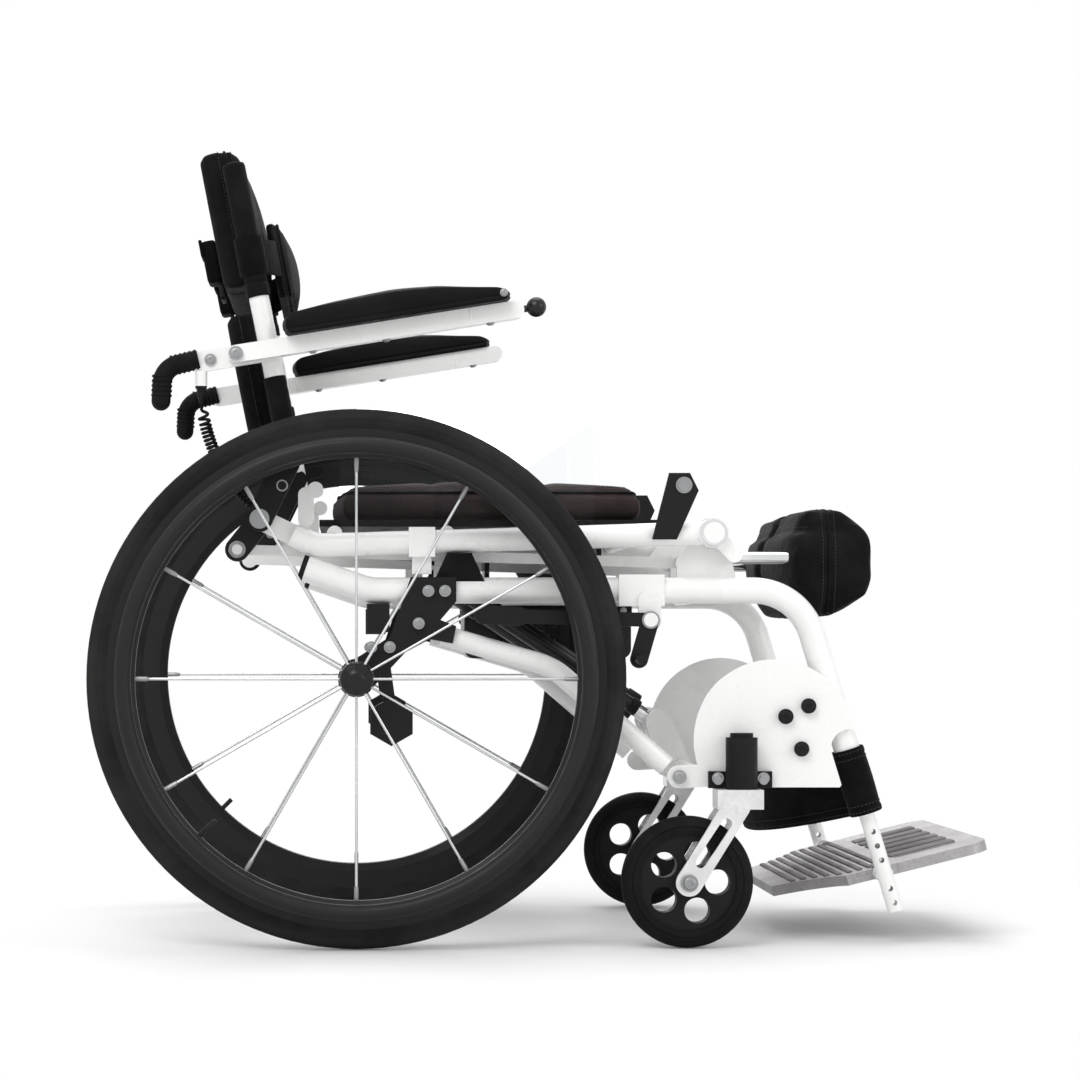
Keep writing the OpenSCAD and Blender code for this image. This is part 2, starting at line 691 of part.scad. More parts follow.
module seat_rails() color(white) chair() both() difference() {
    union() {
        translate([0, -frame_y, 0]) bent_tube([rail_tail, rail_corner, knee], rail_r, [rail_bend]);
        across(knee, -frame_y - rail_r, -frame_y + rail_r, knee_pin_d / 2 + 9);
        plate(-lug_y, lug_t) bar(rail_tail + 12 * unit(rail_corner - hip), hip, 12);
        plate(-frame_y, 10) bar(knee, knee + [25, -25], 9);
    }
    across(knee, -plate_out, 0, knee_pin_d / 2 + run);
    across(hip, -plate_out, 0, hip_pin_d / 2);
}

module seat_cross_tubes() color(white) chair() difference() {
    union() {
        for (x = seat_cross_x) across([x, seat_cross_z], -frame_y, frame_y, seat_cross_d / 2);
        for (y = [ear_y[0], ear_y[3]]) plate(y, plate_t) bar([lift_top[0], seat_cross_z - 4], lift_top, 12);
        across(lift_top, ear_y[0], ear_y[3], lift_pin_d / 2);
        translate([cord_end[0], cord_end[1] - gland_w / 2, cord_end[2] - gland_w / 2])
            cube([24, gland_w, seat_cross_z - cord_end[2] + gland_w / 2]);
    }
    both() rail_straight();
}

module seat_pan() color(black) chair()
    translate([cushion_x - cushion_len / 2 + 6, -cushion_w / 2 + 2, pan_top - pan_t])
        cube([cushion_len - 12, cushion_w - 4, pan_t]);

module seat_cushion() color(black) chair() translate([cushion_x, 0, pan_top + lie])
    padded(cushion_len, cushion_w, cushion_t, 11, 6);

module front_brackets() color(black) chair() both()
    plate(-frame_y - rail_r - lie - 2.5, 5) polygon([knee + [-71, -8], knee + [-43, -8], knee + [-18, 48],
        knee + [-28, 68], knee + [-52, 68]]);

module rail_fittings() color(white) chair() both() {
    difference() {
        translate([rail_clamp_x, -frame_y - clamp_w / 2, rail_z(rail_clamp_x) - clamp_w / 2])
            cube([30, clamp_w, clamp_w]);
        rail_straight();
        for (x = seat_cross_x) across([x, seat_cross_z], -frame_y, 0, seat_cross_d / 2 + lie);
    }
    translate([rail_clamp_x + 4, -frame_y - 8, tube_z + tube_r + 4])
        cube([22, 16, rail_z(rail_clamp_x) - clamp_w / 2 - tube_z - tube_r - 4]);
    plate(-lug_y, 10) bar(hip + [53, 0], hip + [53, 28], 9);
    across(hip + [64, 34], -lug_y - 8, -lug_y + 6, 9);
    for (x = guard_bolt_x) difference() {
        across([x, rail_z(x)], -frame_y, -guard_y - guard_t / 2, 6);
        rail_straight();
    }
}

module seat_bolts() color(silver) chair() both() {
    across(hip, -hinge_out_y - hinge_t / 2 - 0.5, -hinge_in_y + hinge_t / 2 + 0.5, hip_pin_d / 2);
    bolt(hip, hinge_out_y + hinge_t / 2 + 0.5, hip_pin_d / 2 + 3, 3.5);
    bolt(knee + [-35, 54], frame_y + rail_r + lie + 5, 7, 4);
}

module rounded(x0, z0, x1, z1, r) {
    translate([x0 + r, z0]) square([x1 - x0 - 2 * r, z1 - z0]);
    translate([x0, z0 + r]) square([x1 - x0, z1 - z0 - 2 * r]);
    for (x = [x0 + r, x1 - r]) for (z = [z0 + r, z1 - r]) disc([x, z], r);
}

module side_guards() color([0.8, 0.85, 0.88, 0.35]) chair() both() plate(-guard_y, guard_t)
    difference() {
        rounded(guard_x, pan_top - 34, guard_x + guard_len, pan_top + guard_h, 36);
        for (x = seat_cross_x) disc([x, seat_cross_z], seat_cross_d / 2 + lie);
    }

module battery_box() color(black) chair() {
    plate(battery_y, battery_w) rounded(battery_x[0], knee[1] - 145, battery_x[1], knee[1] - 79, 12);
    for (x = [battery_x[0] + 26, battery_x[1] - 41]) translate([x, battery_in + 20, knee[1] - 82])
        cube([6, battery_w - 40, pan_top - pan_t - knee[1] + 82]);
}

// Backrest

module hinge_plates() color(black) chair() both() {
    plate(-hinge_out_y, hinge_t) difference() {
        bar(hip, cane_foot + [-4, 16], 15);
        disc(hip, hip_pin_d / 2 + run);
    }
    plate(-hinge_in_y, hinge_t) difference() {
        union() {
            bar(hip, cane_foot + [-4, 16], 13);
            bar(hip, hip + link_offset, 14);
        }
        disc(hip, hip_pin_d / 2 + run);
        disc(hip + link_offset, link_pin_d / 2 + link_play);
    }
    across(lever_pivot, -lever_y - lever_t / 2 - 0.5, -hinge_out_y, lever_pin_d / 2);
    bolt(hip + [26, 38], hinge_out_y + hinge_t / 2, 5, 3);
}

module back_tubes() color(white) chair() both()
    rod(lift3(cane_foot, -cane_y), lift3(cane_foot + cane_len * cane_u, -cane_y), cane_d / 2);

// Places a padded form on the back: x is out of the back, z is up the back tubes
module on_back(x, z) chair() translate(lift3(cane_foot, 0)) rotate([0, -back_lean, 0])
    translate([x, 0, z]) rotate([0, 90, 0]) children();

// The lower panel hangs behind the back tubes, just above their hinge plates
module back_panel() color(black) on_back(3 - panel_t, panel_low + panel_h / 2)
    padded(panel_h, 2 * cane_y + 14, panel_t, 9, 4);

module back_pad() color(black) on_back(22 - pad_t, panel_low + panel_h + 4 + pad_h / 2)
    padded(pad_h, 2 * cane_y, pad_t, 14, 5);

module chest_pad() color(black) on_back(22 + lie, panel_low + panel_h + 46)
    padded(114, 2 * cane_y - 92, 30, 12, 4);

module arm_plate_outline() bar(arm_pivot + [-42, -7], arm_pivot + [37, 6], 12);

module arm_plates() color(white) chair() {
    both() {
        plate(-hinge_out_y, hinge_t) arm_plate_outline();
        across(arm_pivot, -arm_mid_y - arm_w / 2 - 0.5, -hinge_out_y, arm_pin_d / 2);
        bolt(arm_pivot, arm_mid_y + arm_w / 2 + 0.5, arm_pin_d / 2 + 3, 3);
    }
    translate(cord_route[0]) cylinder(h = arm_pivot[1] - 18 - cord_route[0][2], r = 7);
}

module push_grips() color(black) chair() both() difference() {
    translate([0, -hinge_out_y, 0]) {
        bent_tube([arm_pivot + [-44, -4], arm_pivot + [-85, -14], arm_pivot + [-87, -52]], grip_r, [24]);
        translate(lift3(arm_pivot + [-87, -52], 0)) sphere(grip_r);
    }
    plate(-hinge_out_y, hinge_t + 2 * lie) bar(arm_pivot + [-42, -7], arm_pivot + [37, 6], 12 + lie);
}

module back_levers() color(black) chair() both() plate(-lever_y, lever_t) difference() {
    bar(lever_pivot, lever_pivot + [32, 10], 7);
    disc(lever_pivot, lever_pin_d / 2 + run);
}

// Arms

module arm_tube(s) color(white) chair() side(s) plate(-arm_mid_y, arm_w) difference() {
    bar(arm_pivot, arm_front, arm_h / 2);
    disc(arm_pivot, arm_pin_d / 2 + run);
}

module arm_pad(s) color(black) chair() side(s) translate(lift3(arm_front, -arm_mid_y))
    rotate([0, -arm_slope, 0]) translate([-arm_pad_len / 2, -8, arm_h / 2 + lie])
        padded(arm_pad_len, arm_pad_w, 33, 15, 3, 20);

module arm_tube_right() arm_tube(-1);
module arm_pad_right() arm_pad(-1);
module arm_tube_left() arm_tube(1);
module arm_pad_left() arm_pad(1);

module control_knob() color(black) chair() translate(lift3(arm_front, -arm_mid_y))
    rotate([0, 90 - arm_slope, 0]) {
        translate([0, 0, arm_h / 2 + lie]) cylinder(h = knob_d / 2, r = 4);
        translate([0, 0, arm_h / 2 + knob_d / 2 + 3]) sphere(knob_d / 2);
    }

// Lift

module back_links() color(white) chair() both() {
    plate(-link_y, link_t) difference() {
        union() {
            bar(knee + link_offset, hip + link_offset, link_w / 2);
            disc(knee + link_offset, 10);
            disc(hip + link_offset, 10);
        }
        disc(knee + link_offset, link_pin_d / 2 + run);
    }
    across(hip + link_offset, -hinge_in_y - hinge_t / 2, -link_y, link_pin_d / 2);
}

// Along a strut: z runs from its seat pivot to its base pivot
module strut(y) chair() translate(lift3(lift_top, y)) rotate([0, 90 + lift_dip, 0]) children();

module strut_tube(r, bore_r, bore_from, eye_r, eye_w) difference() {
    union() {
        cylinder(h = actuator_len, r = r);
        rotate([90, 0, 0]) cylinder(h = eye_w, r = eye_r, center = true);
    }
    rotate([90, 0, 0]) cylinder(h = 2 * eye_w, r = lift_pin_d / 2 + run, center = true);
    translate([0, 0, bore_from]) cylinder(h = actuator_len, r = bore_r + run);
}

module strut_rod(r, from, eye_r, eye_w) {
    translate([0, 0, from]) cylinder(h = lift_span - from, r = r);
    translate([0, 0, lift_span]) rotate([90, 0, 0]) {
        cylinder(h = eye_w, r = eye_r, center = true);
        cylinder(h = ear_y[1] - ear_y[0] - ear_t - 1, r = 5, center = true);
    }
}

module actuator_tube() color(black) strut(actuator_y) strut_tube(actuator_d / 2, rod_d / 2, 30, 18, 26);
module actuator_rod() color(silver) strut(actuator_y) strut_rod(rod_d / 2, 40, 13, 20);
module gas_cylinders() color(black) for (y = gas_y) strut(y) strut_tube(gas_d / 2, gas_rod_d / 2, 40, 12, 16);
module gas_rods() color(black) for (y = gas_y) strut(y) strut_rod(gas_rod_d / 2, 50, 10, 14);

// Footrest

module foot_tubes() color(white) chair() both() {
    difference() {
        union() {
            rod(lift3(leg_end - foot_grip * leg_u, -frame_y), lift3(foot_bottom, -frame_y), foot_tube_r);
            across(foot_pivot, -frame_y, -foot_half_w - 0.5, 10);
            across(foot_pivot, -frame_y, -foot_half_w + foot_pin_len - 1, foot_pin_d / 2);
        }
        difference() {
            rod(lift3(leg_end - foot_grip * leg_u - leg_u, -frame_y), lift3(foot_bottom + leg_u, -frame_y),
                foot_tube_r - foot_wall);
            across(foot_pivot, -frame_y, -frame_y + foot_tube_r, foot_pin_d / 2);
        }
        for (i = foot_holes) across(foot_bottom - (10 + i * hole_pitch) * leg_u, -plate_out,
            -frame_y + foot_tube_r + 1, hole_d / 2);
    }
}

// Plan of the plate in its own plane: rear corners stay clear of the casters' swing
module foot_outline() difference() {
    rounded(-foot_rear, -foot_half_w, foot_front, foot_half_w, 26);
    both() translate([stem_x - foot_pivot[0], -stem_y]) circle(trail + caster_r + 6, $fn = 96);
    for (i = [-3 : 3]) translate([foot_front / 2, i * foot_half_w / 4.2]) bar([-34, 0], [34, 0], 4);
}

module footplate() color(silver) chair() translate(lift3(foot_pivot, 0)) rotate([0, -foot_tilt, 0])
    difference() {
        union() {
            translate([0, 0, -foot_t / 2]) linear_extrude(foot_t) foot_outline();
            both() across([0, 0], -foot_half_w, -foot_half_w + 26, 10);
        }
        both() across([0, 0], -foot_half_w - 1, -foot_half_w + foot_pin_len, foot_pin_d / 2 + run);
    }

// Knee support

module knee_rods() color(silver) chair() {
    both() rod([knee_x - 14, -knee_rod_y, knee_rod_z], [knee_board_x + 6, -knee_rod_y, knee_rod_z],
        knee_rod_d / 2);
    translate([knee_board_x, -knee_rod_y - 8, knee_rod_z - 35]) cube([6, 2 * knee_rod_y + 16, 60]);
}

module knee_pad() color(black) chair() translate([knee_board_x - lie, 0, knee_rod_z - 5]) rotate([0, -90, 0])
    padded(150, 2 * knee_rod_y - knee_rod_d - 12, knee_pad_t, 30, 8);

// Wheel locks

module wheel_lock(s) color(black) chair() side(s) {
    plate(-lock_y, lock_t) difference() {
        union() {
            bar(lock_pivot, lock_shoe, 10);
            bar(lock_pivot, lock_pivot + [-150, 4], 8);
            bar(lock_pivot + [-150, 4], lock_pivot + [-190, 6], 11);
        }
        disc(lock_pivot, lock_pin_d / 2 + run);
    }
    across(lock_shoe, -wheel_y - tyre_w / 2 - 2, -lock_y, 6);
}

module wheel_lock_right() wheel_lock(-1);
module wheel_lock_left() wheel_lock(1);

module curly_cord() color(black) chair() cord_tube();

side_frames();
base_cross_tubes();
lower_tubes();
caster_plates();
caster_housings();
axle_plates();
base_bolts();
tube_plugs();
lock_clamps();
seat_rests();
knee_brackets();
calf_strap();
tyre_right();
rim_right();
spokes_right();
hand_rim_right();
tyre_left();
rim_left();
spokes_left();
hand_rim_left();
caster_fork_right();
caster_tyre_right();
caster_rim_right();
caster_fork_left();
caster_tyre_left();
caster_rim_left();
seat_rails();
seat_cross_tubes();
seat_pan();
seat_cushion();
front_brackets();
rail_fittings();
seat_bolts();
side_guards();
battery_box();
hinge_plates();
back_tubes();
back_panel();
back_pad();
chest_pad();
arm_plates();
push_grips();
back_levers();
arm_tube_right();
arm_pad_right();
arm_tube_left();
arm_pad_left();
control_knob();
back_links();
actuator_tube();
actuator_rod();
gas_cylinders();
gas_rods();
foot_tubes();
footplate();
knee_rods();
knee_pad();
wheel_lock_right();
wheel_lock_left();
curly_cord();
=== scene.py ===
"""Looks of the standing wheelchair: finishes on its solids, soft goods, cord, trim and a studio."""
import math

import bmesh
import bpy
from mathutils import Matrix, Vector
from mathutils.bvhtree import BVHTree


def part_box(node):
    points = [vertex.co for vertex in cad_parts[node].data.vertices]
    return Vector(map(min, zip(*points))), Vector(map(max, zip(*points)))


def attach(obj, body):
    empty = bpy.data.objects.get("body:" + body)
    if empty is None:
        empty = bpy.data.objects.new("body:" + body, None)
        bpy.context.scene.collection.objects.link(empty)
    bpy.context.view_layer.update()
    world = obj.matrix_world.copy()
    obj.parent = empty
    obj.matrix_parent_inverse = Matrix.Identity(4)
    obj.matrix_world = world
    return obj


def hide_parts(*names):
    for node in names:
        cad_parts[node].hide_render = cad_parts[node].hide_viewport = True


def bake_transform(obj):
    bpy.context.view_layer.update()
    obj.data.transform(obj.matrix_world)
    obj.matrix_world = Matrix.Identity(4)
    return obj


bl_info = {
    "name": "Standing Wheelchair",
    "version": (1, 0, 0),
    "blender": (4, 5, 0),
    "location": "View3D > Sidebar > Chair",
    "description": "Dresses the solids of a standing wheelchair with finishes, padding, trim and a studio",
    "category": "Object",
}

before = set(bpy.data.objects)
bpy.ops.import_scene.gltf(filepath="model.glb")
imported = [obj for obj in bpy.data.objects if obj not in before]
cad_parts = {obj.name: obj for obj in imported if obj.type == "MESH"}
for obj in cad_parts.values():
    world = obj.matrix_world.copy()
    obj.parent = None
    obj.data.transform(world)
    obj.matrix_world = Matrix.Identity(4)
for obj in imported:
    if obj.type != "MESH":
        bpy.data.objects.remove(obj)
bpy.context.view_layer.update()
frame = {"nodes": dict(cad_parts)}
NODES = frame["nodes"]
SIDES = (("right", -1), ("left", 1))

# Places are in millimetres from the rear axle (x), the middle plane (y) and the floor (z)
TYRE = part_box("tyre_right")
AXLE_X = (TYRE[0].x + TYRE[1].x) / 2
AXLE_Z = (TYRE[0].z + TYRE[1].z) / 2
WHEEL_Y = -(TYRE[0].y + TYRE[1].y) / 2
KNEE = (409, 472)
HIP = (-111, 488)
ARM_PIVOT = (-137, 675)
ARM_TUBE = 322
CANE_FOOT = (-73, 542)
LEG_END = (585.617, 150.531)
FOOT_PIVOT = (606.839, 80.683)
LIFT_TOP = (104, 421)
LIFT_LOW = (360, 252)
CASTER = (375, 254, 75)
KNEE_PAD = (584.7, 440)
CORD_TOP = (-178, -221, 640)
CORD_END = (92, -125, 444)
BATTERY = ((134, 40, 327), (341, 160, 393))
LEG_Y = 215
CANE_Y = 206
GRIP_Y = 221
ARM_Y = 235
# Slopes in degrees
BACK_LEAN = 11
ARM_SLOPE = 9
LEG_LEAN = 16.9
FOOT_TILT = 14
# A wave texture of this scale has one band in each metre
WAVE_SCALE = 0.314
# Sewing, in millimetres
STITCH = 4.2
STRAP_STITCH = 4.5
SEAM_THREAD = 0.45
FINE_THREAD = 0.4
PIPING_RADIUS = 2.0
# Room under the tyres, in metres
FLOOR_GAP = 0.0004
# Cloth simulation of the pads
SETTLE_FRAMES = 16
PAD_PRESSURE = 4.0
# Room that a pad's form leaves for its cloth, in metres
PAD_ROOM = 0.006
PAD_ROOM_UP = 0.004


def at(x, y, z):
    """A place measured from the rear axle, moved to the shared frame in metres."""
    return Vector((x / 1000 + AXLE_X, y / 1000, z / 1000))


def shifted(x, y, z):
    """A move in millimetres."""
    return Matrix.Translation((x / 1000, y / 1000, z / 1000))


def tilted(degrees, axis):
    """A turn in degrees."""
    return Matrix.Rotation(math.radians(degrees), 4, axis)


def turned(x, y, z, tilt):
    """Moves a local frame to a place and turns it about the y axis by tilt degrees."""
    return Matrix.Translation(at(x, y, z)) @ tilted(tilt, "Y")


def on_back(x, z):
    """Places a pad on the back: its z comes forward out of the back, its x runs down the back tubes."""
    return turned(CANE_FOOT[0], 0, CANE_FOOT[1], -BACK_LEAN) @ shifted(x, 0, z) @ tilted(90, "Y")


def facing_side(x, y, z):
    """A local frame whose z axis points outwards at the side of the chair."""
    return Matrix.Translation(at(x, y, z)) @ tilted(90 if y < 0 else -90, "X")


def wheel_hub(s):
    """The frame of a rear wheel, on the side s."""
    return facing_side(0, s * WHEEL_Y * 1000, AXLE_Z * 1000)


def chair():
    """The settings of the chair."""
    return bpy.context.scene.chair


# Finishes

def finish(name, colour, rough, metal=0.0, **sockets):
    """A new material with plain values on its shader."""
    mat = bpy.data.materials.new(name)
    mat.use_nodes = True
    bsdf = mat.node_tree.nodes["Principled BSDF"]
    bsdf.inputs["Base Color"].default_value = (*colour[:3], 1)
    bsdf.inputs["Roughness"].default_value = rough
    bsdf.inputs["Metallic"].default_value = metal
    for socket, value in sockets.items():
        bsdf.inputs[socket.replace("_", " ")].default_value = value
    mat.diffuse_color = (*colour[:3], 1)
    return mat


def node(mat, kind, **values):
    """Adds a shader node."""
    made = mat.node_tree.nodes.new(kind)
    for key, value in values.items():
        setattr(made, key, value)
    return made


def link(mat, out, into):
    """Joins two sockets."""
    mat.node_tree.links.new(out, into)


def coordinates(mat, stretch=(1, 1, 1)):
    """Object coordinates, stretched."""
    place = node(mat, "ShaderNodeTexCoord")
    mapping = node(mat, "ShaderNodeMapping")
    mapping.inputs["Scale"].default_value = stretch
    link(mat, place.outputs["Object"], mapping.inputs["Vector"])
    return mapping.outputs["Vector"]


def noise(mat, vector, scale, detail=3.0):
    """Noise between nought and one."""
    made = node(mat, "ShaderNodeTexNoise")
    made.inputs["Scale"].default_value = scale
    made.inputs["Detail"].default_value = detail
    link(mat, vector, made.inputs["Vector"])
    return made.outputs["Fac"]


def spread(mat, value, low, high):
    """Runs a value between two numbers into the roughness."""
    made = node(mat, "ShaderNodeMapRange")
    made.inputs["From Min"].default_value = 0.3
    made.inputs["From Max"].default_value = 0.7
    made.inputs["To Min"].default_value = low
    made.inputs["To Max"].default_value = high
    link(mat, value, made.inputs["Value"])
    link(mat, made.outputs["Result"], mat.node_tree.nodes["Principled BSDF"].inputs["Roughness"])


def tint(mat, value, dark, light):
    """Runs a value between two colours into the base colour."""
    ramp = node(mat, "ShaderNodeValToRGB")
    ramp.color_ramp.elements[0].position = 0.35
    ramp.color_ramp.elements[1].position = 0.65
    ramp.color_ramp.elements[0].color = (*dark[:3], 1)
    ramp.color_ramp.elements[1].color = (*light[:3], 1)
    link(mat, value, ramp.inputs["Fac"])
    link(mat, ramp.outputs["Color"], mat.node_tree.nodes["Principled BSDF"].inputs["Base Color"])


def bump(mat, value, distance, strength, below=None):
    """Raises the surface by a value, over another bump if one is given."""
    made = node(mat, "ShaderNodeBump")
    made.inputs["Distance"].default_value = distance
    made.inputs["Strength"].default_value = strength
    link(mat, value, made.inputs["Height"])
    if below is not None:
        link(mat, below, made.inputs["Normal"])
    link(mat, made.outputs["Normal"], mat.node_tree.nodes["Principled BSDF"].inputs["Normal"])
    return made.outputs["Normal"]


def shade(colour, k):
    """A colour made lighter or darker."""
    return tuple(min(1, c * k) for c in colour[:3])


def powder_coat(name, colour, rough=0.28, coat=0.35, shine=0.5):
    """Gloss paint with a faint orange peel and uneven dust."""
    mat = finish(name, colour, rough, Coat_Weight=coat, Coat_Roughness=0.12, Specular_IOR_Level=shine)
    vector = coordinates(mat)
    tint(mat, noise(mat, vector, scale=9), shade(colour, 0.98), shade(colour, 1.005))
    spread(mat, noise(mat, vector, scale=38), rough * 0.9, rough * 1.15)
    bump(mat, noise(mat, vector, scale=900, detail=1), distance=0.00005, strength=0.35)
    return mat


def bare_metal(name, colour, rough, stretch=(1, 1, 40), depth=0.00004):
    """Bright metal with fine drawn lines and patches of duller wear."""
    mat = finish(name, colour, rough, 1.0)
    lines = noise(mat, coordinates(mat, stretch), scale=220, detail=2)
    tint(mat, noise(mat, coordinates(mat), scale=24, detail=4), shade(colour, 0.84), colour)
    spread(mat, lines, rough * 0.7, rough * 1.5)
    bump(mat, lines, depth, strength=0.4)
    return mat


def moulded(name, colour, rough, grain=1400, depth=0.00012, shine=0.2):
    """Moulded plastic or rubber with a fine spark-eroded grain."""
    mat = finish(name, colour, rough, Specular_IOR_Level=shine)
    vector = coordinates(mat)
    tint(mat, noise(mat, vector, scale=16, detail=5), shade(colour, 0.8), shade(colour, 1.3))
    spread(mat, noise(mat, vector, scale=60), rough * 0.85, min(1, rough * 1.2))
    bump(mat, noise(mat, vector, grain, detail=2), depth, strength=0.5)
    return mat


def woven(name, colour, warm, period=0.0026, rough=0.82):
    """Upholstery cloth: threads across all three directions, brushed patches and a soft sheen."""
    mat = finish(name, colour, rough, Sheen_Weight=0.05, Sheen_Roughness=0.4, Specular_IOR_Level=0.08)
    vector = coordinates(mat)
    total = None
    for direction in "XYZ":
        wave = node(mat, "ShaderNodeTexWave", wave_type="BANDS", bands_direction=direction)
        wave.inputs["Scale"].default_value = WAVE_SCALE / period
        wave.inputs["Distortion"].default_value = 0.6
        link(mat, vector, wave.inputs["Vector"])
        if total is None:
            total = wave.outputs["Fac"]
        else:
            add = node(mat, "ShaderNodeMath", operation="ADD")
            link(mat, total, add.inputs[0])
            link(mat, wave.outputs["Fac"], add.inputs[1])
            total = add.outputs["Value"]
    tint(mat, noise(mat, vector, scale=22, detail=6), colour, warm)
    spread(mat, noise(mat, vector, scale=70), rough * 0.9, min(1, rough * 1.12))
    creases = bump(mat, noise(mat, vector, scale=34, detail=5), distance=0.0011, strength=0.5)
    bump(mat, total, distance=0.00022, strength=0.55, below=creases)
    return mat


def clear_sheet(name, colour):
    """Clear sheet with faint scuffs."""
    mat = finish(name, colour, 0.02, Transmission_Weight=1.0, IOR=1.12)
    spread(mat, noise(mat, coordinates(mat), scale=46, detail=6), 0.0, 0.04)
    return mat


# Mesh helpers

def piece(name, bm, coat, body, place=None, smooth=35):
    """Makes an object of a bmesh, in place and in a named finish, riding on a body."""
    if place is not None:
        bm.transform(place)
    mesh = bpy.data.meshes.new(name)
    bm.to_mesh(mesh)
    bm.free()
    obj = bpy.data.objects.new(name, mesh)
    bpy.context.scene.collection.objects.link(obj)
    mesh.materials.append(bpy.data.materials[coat])
    mesh.shade_smooth()
    if smooth:
        mesh.set_sharp_from_angle(angle=math.radians(smooth))
    if body:
        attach(obj, body)
    return obj


def closed(bm):
    """Merges doubles and turns the faces outwards."""
    bmesh.ops.remove_doubles(bm, verts=bm.verts[:], dist=1e-6)
    bmesh.ops.recalc_face_normals(bm, faces=bm.faces[:])
    return bm


def spun(bm, profile, place, turn, steps, loop):
    """Spins a profile of (radius, height) points, in millimetres, about the local z axis."""
    new = bmesh.new()
    verts = [new.verts.new((r / 1000, 0, h / 1000)) for r, h in profile]
    pairs = list(zip(verts, verts[1:]))
    if loop:
        pairs.append((verts[-1], verts[0]))
    edges = [new.edges.new(pair) for pair in pairs]
    full = turn >= 360
    bmesh.ops.spin(new, geom=verts + edges, cent=(0, 0, 0), axis=(0, 0, 1), angle=math.radians(turn),
                   steps=steps, use_merge=full, use_duplicate=False)
    if not full:
        bmesh.ops.holes_fill(new, edges=new.edges[:], sides=0)
    closed(new)
    new.transform(place)
    joined(bm, new)


def ring_of(bm, profile, place, turn=360, steps=64):
    """Spins a closed profile that stays off the axis."""
    spun(bm, profile, place, turn, steps, True)


def turning(bm, profile, place, steps=40):
    """Spins an open profile that starts and ends on the axis."""
    spun(bm, profile, place, 360, steps, False)


def joined(bm, new):
    """Adds one bmesh to another."""
    mesh = bpy.data.meshes.new("part")
    new.to_mesh(mesh)
    new.free()
    bm.from_mesh(mesh)
    bpy.data.meshes.remove(mesh)


def block(bm, size, place, bevel, segments):
    """Adds a block with rounded edges, size in millimetres."""
    new = bmesh.new()
    bmesh.ops.create_cube(new, size=1)
    bmesh.ops.scale(new, vec=Vector(size) / 1000, verts=new.verts[:])
    bmesh.ops.bevel(new, geom=new.edges[:], offset=bevel / 1000, affect="EDGES", segments=segments,
                    profile=0.5, material=-1)
    new.transform(place)
    joined(bm, new)


def socket_bolt(bm, place, r, h, seat=0.0):
    """Adds a domed bolt with a six-sided socket and a washer, standing on local z = 0."""
    radius, height = r / 1000, h / 1000
    sixth = math.pi / 3
    new = bmesh.new()
    bmesh.ops.create_cone(new, segments=24, radius1=radius, radius2=radius, depth=height, cap_ends=True)
    bmesh.ops.translate(new, verts=new.verts[:], vec=(0, 0, height / 2))
    top = max(new.faces, key=lambda f: f.calc_center_median().z)
    bmesh.ops.bevel(new, geom=list(top.edges), offset=0.22 * radius, affect="EDGES", segments=3, profile=0.5,
                    material=-1)
    top = max(new.faces, key=lambda f: (round(f.calc_center_median().z, 7), len(f.verts)))
    bmesh.ops.inset_region(new, faces=[top], thickness=0.3 * radius)
    for v in top.verts:
        angle = math.atan2(v.co.y, v.co.x)
        off = (angle + sixth / 2) % sixth - sixth / 2
        length = 0.42 * radius / math.cos(off)
        v.co.x = length * math.cos(angle)
        v.co.y = length * math.sin(angle)
    sunk = bmesh.ops.extrude_face_region(new, geom=[top])
    bmesh.ops.delete(new, geom=[top], context="FACES_ONLY")
    low = [v for v in sunk["geom"] if isinstance(v, bmesh.types.BMVert)]
    bmesh.ops.translate(new, verts=low, vec=(0, 0, -min(0.0015, 0.4 * height)))
    closed(new)
    new.transform(place)
    joined(bm, new)
    inner, outer, top = 0.7 * r, 1.35 * r, seat + 0.9
    ring_of(bm, [(inner, seat), (outer, seat), (outer, top), (inner, top)], place, steps=24)


def tube_along(name, points, r, coat, body, loop=False, sides=4):
    """A round tube through points, made a mesh."""
    curve = bpy.data.curves.new(name, "CURVE")
    curve.dimensions = "3D"
    curve.bevel_depth = r / 1000
    curve.bevel_resolution = sides
    curve.use_fill_caps = not loop
    line = curve.splines.new("POLY")
    line.points.add(len(points) - 1)
    for p, q in zip(line.points, points):
        p.co = (*q, 1)
    line.use_cyclic_u = loop
    held = bpy.data.objects.new(name + "_line", curve)
    bpy.context.scene.collection.objects.link(held)
    bpy.context.view_layer.update()
    mesh = bpy.data.meshes.new_from_object(held.evaluated_get(bpy.context.evaluated_depsgraph_get()))
    bpy.data.objects.remove(held)
    bpy.data.curves.remove(curve)
    bm = bmesh.new()
    bm.from_mesh(mesh)
    bpy.data.meshes.remove(mesh)
    return piece(name, closed(bm), coat, body, smooth=0)


def stitches(bm, points, pitch, r, loop=False):
    """Adds short raised threads along a line of points."""
    line = points + points[:1] if loop else points
    radius = r / 1000
    left = 0.0
    for a, b in zip(line, line[1:]):
        way = b - a
        if way.length < 1e-6:
            continue
        turn = way.to_track_quat("Z", "X").to_matrix().to_4x4()
        run = left
        while run < way.length:
            new = bmesh.new()
            bmesh.ops.create_cone(new, segments=5, radius1=radius, radius2=radius, depth=0.62 * pitch / 1000,
                                  cap_ends=True)
            new.transform(Matrix.Translation(a + way.normalized() * run) @ turn)
            joined_fast(bm, new)
            run += pitch / 1000
        left = run - way.length


def joined_fast(bm, new):
    """Adds a small bmesh face by face."""
    twin = {v: bm.verts.new(v.co) for v in new.verts}
    for f in new.faces:
        bm.faces.new([twin[v] for v in f.verts])
    new.free()


# Padding

